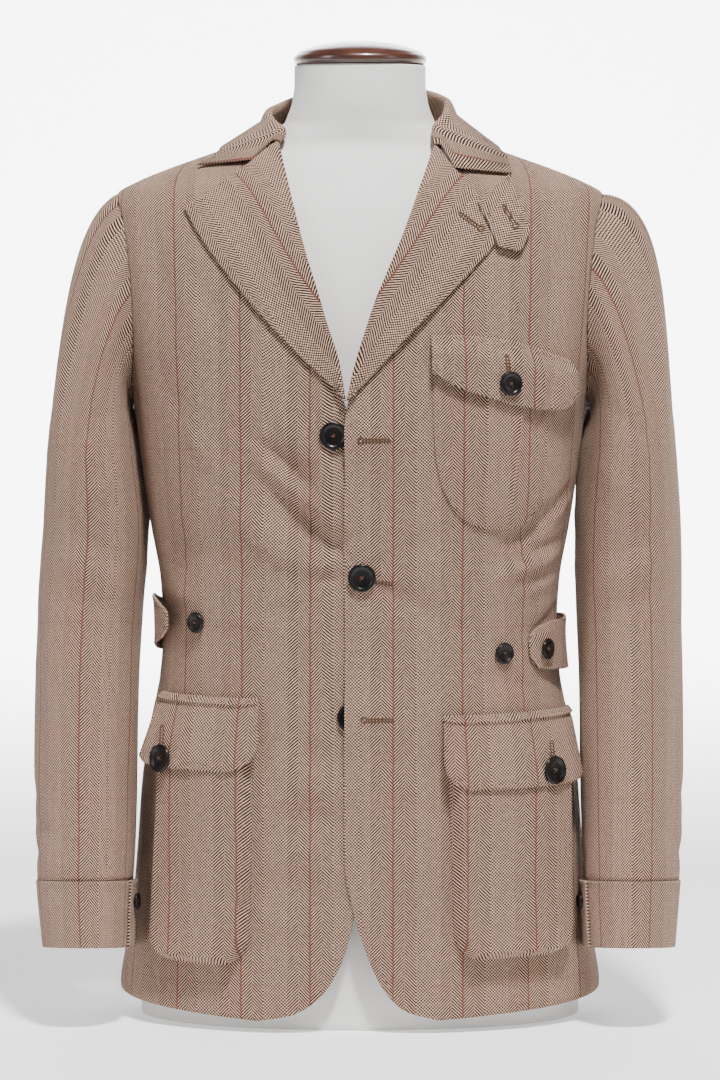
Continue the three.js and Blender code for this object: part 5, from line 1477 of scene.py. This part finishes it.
silk = Finish("sewing_silk", Sheen_Weight=0.4, Sheen_Roughness=0.35, Specular_IOR_Level=0.4)
place = silk.object_place()
twist = silk.noise(place, 2600, 1)
dye = silk.noise(place, 60, 2)
silk.feed("Base Color", silk.mix(twist * 0.7 + dye * 0.3, (0.03, 0.012, 0.005), (0.15, 0.066, 0.026)))
silk.feed("Roughness", twist * 0.2 + 0.5)
silk.bump(twist, 0.00012)


def frame_on(normal):
    """Three unit directions at a place on the cloth: across, up and out along the normal."""
    out = unit(np.asarray(normal, float))
    across = unit(np.cross([0.0, 0.0, 1.0], out))
    return np.stack([across, np.cross(out, across), out])


def button_rings(radius, thick):
    """Disc turned from its profile, with four round pits sunk by a steep-sided bell, 1.9 mm deep."""
    steps = np.concatenate([np.linspace(0.002, 0.42, 34), np.linspace(0.42, 1, 20)[1:]])
    r_top = steps * 0.999
    profile_r, profile_z = BUTTON_PROFILE["r"], BUTTON_PROFILE["z"]
    rim = len(profile_r) - 5
    top_z = np.interp(r_top, profile_r[:rim + 1], profile_z[:rim + 1])
    r = np.concatenate([r_top, profile_r[rim + 1:], [0.4, 0.002]]) * radius
    z = np.concatenate([top_z, profile_z[rim + 1:], [0.0, 0.0]]) * thick
    turn = np.linspace(0, 2 * math.pi, BUTTON_TURNS + 1)[:-1]
    rings = lathe({"r": r, "z": z}, turn)
    sink = np.zeros(rings.shape[:2])
    for k in range(4):
        angle = math.pi * (k + 0.5) / 2
        at = radius * HOLE_OUT * np.array([math.cos(angle), math.sin(angle)])
        away = np.linalg.norm(rings[..., :2] - at, axis=-1) / (radius * HOLE_RADIUS)
        sink = np.maximum(sink, 1 / (1 + away ** 10))
    sink[len(r_top):] = 0
    rings[..., 2] -= sink * 1.9 * thick / 3.6
    return rings


def thread_loops(radius, thick):
    """Two round threads in each direction between the holes, each an arch of seven rings."""
    loops = []
    for turn in (math.pi / 4, 3 * math.pi / 4):
        for offset in (-0.42, 0.42):
            t = np.linspace(-1.12, 1.12, 11)
            width = 0.34
            over = 0.22 if turn > 1 else 0
            high = thick * 0.6 + 0.55 - 0.75 * np.abs(t) ** 6 + over * (1 - t * t)
            line = np.stack([t * radius * HOLE_OUT, np.full(t.shape, offset * width), high], -1)
            ring = np.linspace(0, 2 * math.pi, 9)[:-1]
            section = width / 2 * 1.15 * np.stack([0 * ring, np.cos(ring), np.sin(ring)], -1)
            tube = line[:, None] + section[None]
            c, s = math.cos(turn), math.sin(turn)
            tube = tube @ np.array([[c, s, 0], [-s, c, 0], [0, 0, 1]])
            loops.append(tube)
    return loops


def sew_button(name, diameter, point, normal, thick, turn=0.0):
    """Button and its threads, their underside at point, facing along normal."""
    c, s = math.cos(turn), math.sin(turn)
    axes = np.array([[c, s, 0], [-s, c, 0], [0, 0, 1]]) @ frame_on(normal)
    rings = button_rings(diameter / 2, thick) @ axes + point
    belongs(closed_rings(f"{name}_horn", rings, horn), "horn", name)
    tubes = [tube @ axes + point for tube in thread_loops(diameter / 2, thick)]
    rows, cols = tubes[0].shape[:2]
    each = grid_faces(rows, cols, closed=True)
    if volume(tubes[0].reshape(-1, 3), each) < 0:
        each = each[:, ::-1]
    faces = np.concatenate([each + k * rows * cols for k in range(len(tubes))])
    thread = make_mesh(f"{name}_thread", to_metres(np.concatenate(tubes).reshape(-1, 3)), faces, silk)
    belongs(thread, "thread")


FRONT_BUTTON, CHEST_BUTTON, FLAP_BUTTON, TAB_BUTTON, CUFF_BUTTON = 23.5, 20.5, 24, 18, 14
THICK = 3.6


def on_front(x, z, lift):
    q = round_of_x(x, z)
    return on_cloth(q, np.float64(z), np.float64(lift)), worn.normal(q, np.float64(z))


def flap_lift(seam, z):
    return 3.4 + BELLOWS * mouth_share(seam - z) + CLOTH + 0.6


BUTTONS = [  # node, diameter, x, z, lift, turn of the holes
    ("front_button_1", FRONT_BUTTON, -22, TOP_BUTTON, 0.6, 0.3),
    ("front_button_2", FRONT_BUTTON, 1.5, MIDDLE_BUTTON, CLOTH + 1.7, 0.1),
    ("front_button_3", FRONT_BUTTON, -7.5, BOTTOM_BUTTON, 0.6, 0.5),
    ("chest_button", CHEST_BUTTON, 121, 543, 9.6, 0.15),
    ("flap_button_left", FLAP_BUTTON, 152, 216, flap_lift(266, 216), 0.1),
    ("flap_button_right", FLAP_BUTTON, -155, 225, flap_lift(280, 225), 0.4),
    ("waist_button_left_2", TAB_BUTTON, 120, 316, 0.6, 0.0),
    ("waist_button_right", TAB_BUTTON, -137, 341, 0.6, 0.2),
]
for name, diameter, x, z, lift, turn in BUTTONS:
    sew_button(name, diameter, *on_front(x, z, lift), THICK, turn)
sew_button("waist_button_left_1", TAB_BUTTON, on_cloth(0.725, 317.0, 5.8), worn.normal(0.74, 317.0),
           3.4, 0.3)
CUFF_TURN, CUFF_HEIGHT = 0.47, 103.0
for word, side in (("left", 1), ("right", -1)):
    point, inner, outer = (
        sleeve_ring(side, np.float64(CUFF_TURN), np.float64(CUFF_HEIGHT), grow) * [side, 1, 1]
        for grow in (CLOTH + 2.2, 0, 10))
    sew_button(f"cuff_button_{word}", CUFF_BUTTON, point, outer - inner, 3)

# ---------------------------------------------------------------- buttonholes
# Keyhole buttonholes worked in tan silk: a ridge of close stitches round a slit, an eyelet at the end
# where the button's shank sits, and a bar tack across the other.
EYELET = 2.3                    # radius of the path round the eyelet
LIPS = 1.15                     # half the distance between the ridges along the slit
RIDGE = 0.85                    # half width of a ridge
PURLS = 0.62                    # from one raised stitch to the next


def keyhole(length):
    """Closed path of the ridge in the plane: down one lip, round the eyelet, and back up the other."""
    straight = np.linspace(0, length - 2 * EYELET, 40)
    sweep = np.linspace(-2.55, 2.55, 34)
    eyelet = np.stack([length - EYELET + EYELET * np.cos(sweep), EYELET * np.sin(sweep)], -1)
    end = np.linspace(math.pi / 2, 3 * math.pi / 2, 9)
    heel = np.stack([LIPS * 0.8 * np.cos(end), LIPS * np.sin(end)], -1)
    lower = np.stack([straight, np.full(40, -LIPS)], -1)
    upper = np.stack([straight[::-1], np.full(40, LIPS)], -1)
    return np.concatenate([lower, eyelet, upper, heel[1:-1]])


def worked_hole(name, cloth, start, end, reach=40):
    """Buttonhole from start to end, x and z, laid on the face of a cut piece by casting rays at it."""
    start, end = np.array(start, float), np.array(end, float)
    length = np.hypot(*(end - start))
    along = (end - start) / length
    across = np.array([-along[1], along[0]])
    flat = keyhole(length)
    steps = np.linalg.norm(np.diff(flat, axis=0, append=flat[:1]), axis=1)
    walked = np.concatenate([[0], np.cumsum(steps)])
    count = int(walked[-1] / PURLS) * 4
    evenly = np.linspace(0, walked[-1], count + 1)[:-1]
    closed = np.concatenate([flat, flat[:1]])
    path = np.stack([np.interp(evenly, walked, closed[:, k]) for k in (0, 1)], -1)
    xz = start + path[:, :1] * along + path[:, 1:] * across
    q = round_of_x(xz[:, 0], xz[:, 1])
    out = worn.normal(q, xz[:, 1])
    above = on_cloth(q, xz[:, 1], np.full(len(q), float(reach)))
    tree = BVHTree.FromPolygons(to_metres(cloth.face.reshape(-1, 3)).tolist(),
                                grid_faces(*cloth.face.shape[:2]).tolist())
    hits = [tree.ray_cast(Vector(p), Vector(-n)) for p, n in zip(to_metres(above), out)]
    found = [k for k, hit in enumerate(hits) if hit[0] is not None]
    if len(found) < len(hits):
        raise ValueError(f"{name}: the buttonhole runs off its cloth")
    middle = (np.array([hit[0] for hit in hits]) - MIDDLE) / MM
    tangent = unit(np.roll(middle, -1, axis=0) - np.roll(middle, 1, axis=0))
    sideways = np.cross(tangent, out)
    swell = 1 + 0.16 * np.cos(2 * math.pi * evenly / PURLS)
    ring = np.linspace(0, 2 * math.pi, 9)[:-1]
    section = (sideways[:, None] * (np.cos(ring) * RIDGE)[None, :, None]
               + out[:, None] * (np.sin(ring) * 0.62 + 0.16)[None, :, None])
    tube = middle[:, None] + section * swell[:, None, None]
    rows, cols = tube.shape[:2]
    at = grid_faces(rows + 1, cols, closed=True) % (rows * cols)
    points = to_metres(tube.reshape(-1, 3))
    if volume(points, at) < 0:
        at = at[:, ::-1]
    belongs(make_mesh(name, points, at, silk), "thread")


worked_hole("buttonhole_top", front_left, (24, 496.5), (-1.5, 496.5))
worked_hole("buttonhole_middle", front_left, (26, 377), (6, 379.5))
worked_hole("buttonhole_bottom", front_left, (26.6, 262.6), (1.0, 262.6))
worked_hole("buttonhole_lapel", lapel_left, (82.7, 681.7), (101.8, 668.5))
worked_hole("buttonhole_throat", throat_tab, (118.4, 687), (129, 669.6))
worked_hole("buttonhole_chest", chest_flap, (119, 566), (120.5, 549))
worked_hole("buttonhole_pocket_left", flaps["left"], (153.5, 239), (152.3, 220))
worked_hole("buttonhole_pocket_right", flaps["right"], (-158, 251), (-156, 230))

# ---------------------------------------------------------------- topstitching
# Brown silk worked close to the edges of fronts, lapels, collar, cuffs, pockets and tabs: short stitches
# a thread's width apart, pulled a little into the wool.
STITCH, GAP, THREAD = 2.7, 1.1, 0.26


def stitched(rows):
    """Every stitch as a spindle of four five-sided rings, at even steps along each row, in one mesh."""
    def read(values, walked, where):
        return np.stack([np.interp(where, walked, values[:, k]) for k in range(3)], -1)

    shape_t = np.array([-0.5, -0.3, 0.3, 0.5])
    shape_r = np.array([0.25, 1.0, 1.0, 0.25])
    ring = np.linspace(0, 2 * math.pi, 6)[:-1]
    centres, tangents, outs = [], [], []
    for points, normals in rows:
        walked = np.concatenate([[0], np.cumsum(np.linalg.norm(np.diff(points, axis=0), axis=1))])
        at = np.arange((STITCH + GAP) / 2, walked[-1], STITCH + GAP)
        centres.append(read(points, walked, at))
        tangents.append(unit(read(points, walked, at + 0.8) - read(points, walked, at - 0.8)))
        outs.append(unit(read(normals, walked, at)))
    centre, tangent, out = (np.concatenate(values)[:, None, None] for values in (centres, tangents, outs))
    sideways = np.cross(tangent, out)
    length = shape_t[None, :, None, None] * STITCH
    round_ = (np.cos(ring)[None, None, :, None] * sideways + np.sin(ring)[None, None, :, None] * out)
    bodies = centre + tangent * length + round_ * shape_r[None, :, None, None] * THREAD + out * 0.06
    count, rows_, cols = bodies.shape[:3]
    each = grid_faces(rows_, cols, closed=True)
    if volume(bodies[0].reshape(-1, 3), each) < 0:
        each = each[:, ::-1]
    faces = (each[None] + (np.arange(count) * rows_ * cols)[:, None, None]).reshape(-1, 4)
    return bodies.reshape(-1, 3), faces


brown = Finish("topstitch_silk", Sheen_Weight=0.3, Sheen_Roughness=0.4, Specular_IOR_Level=0.35)
ply = brown.noise(brown.object_place(), 1800, 1)
brown.feed("Base Color", brown.mix(ply, (0.10, 0.058, 0.036), (0.26, 0.165, 0.105)))
brown.feed("Roughness", ply * 0.2 + 0.55)
brown.bump(ply, 0.0001)
points, faces = stitched(stitch_rows)
belongs(make_mesh("topstitching", to_metres(points), faces, brown), "thread")
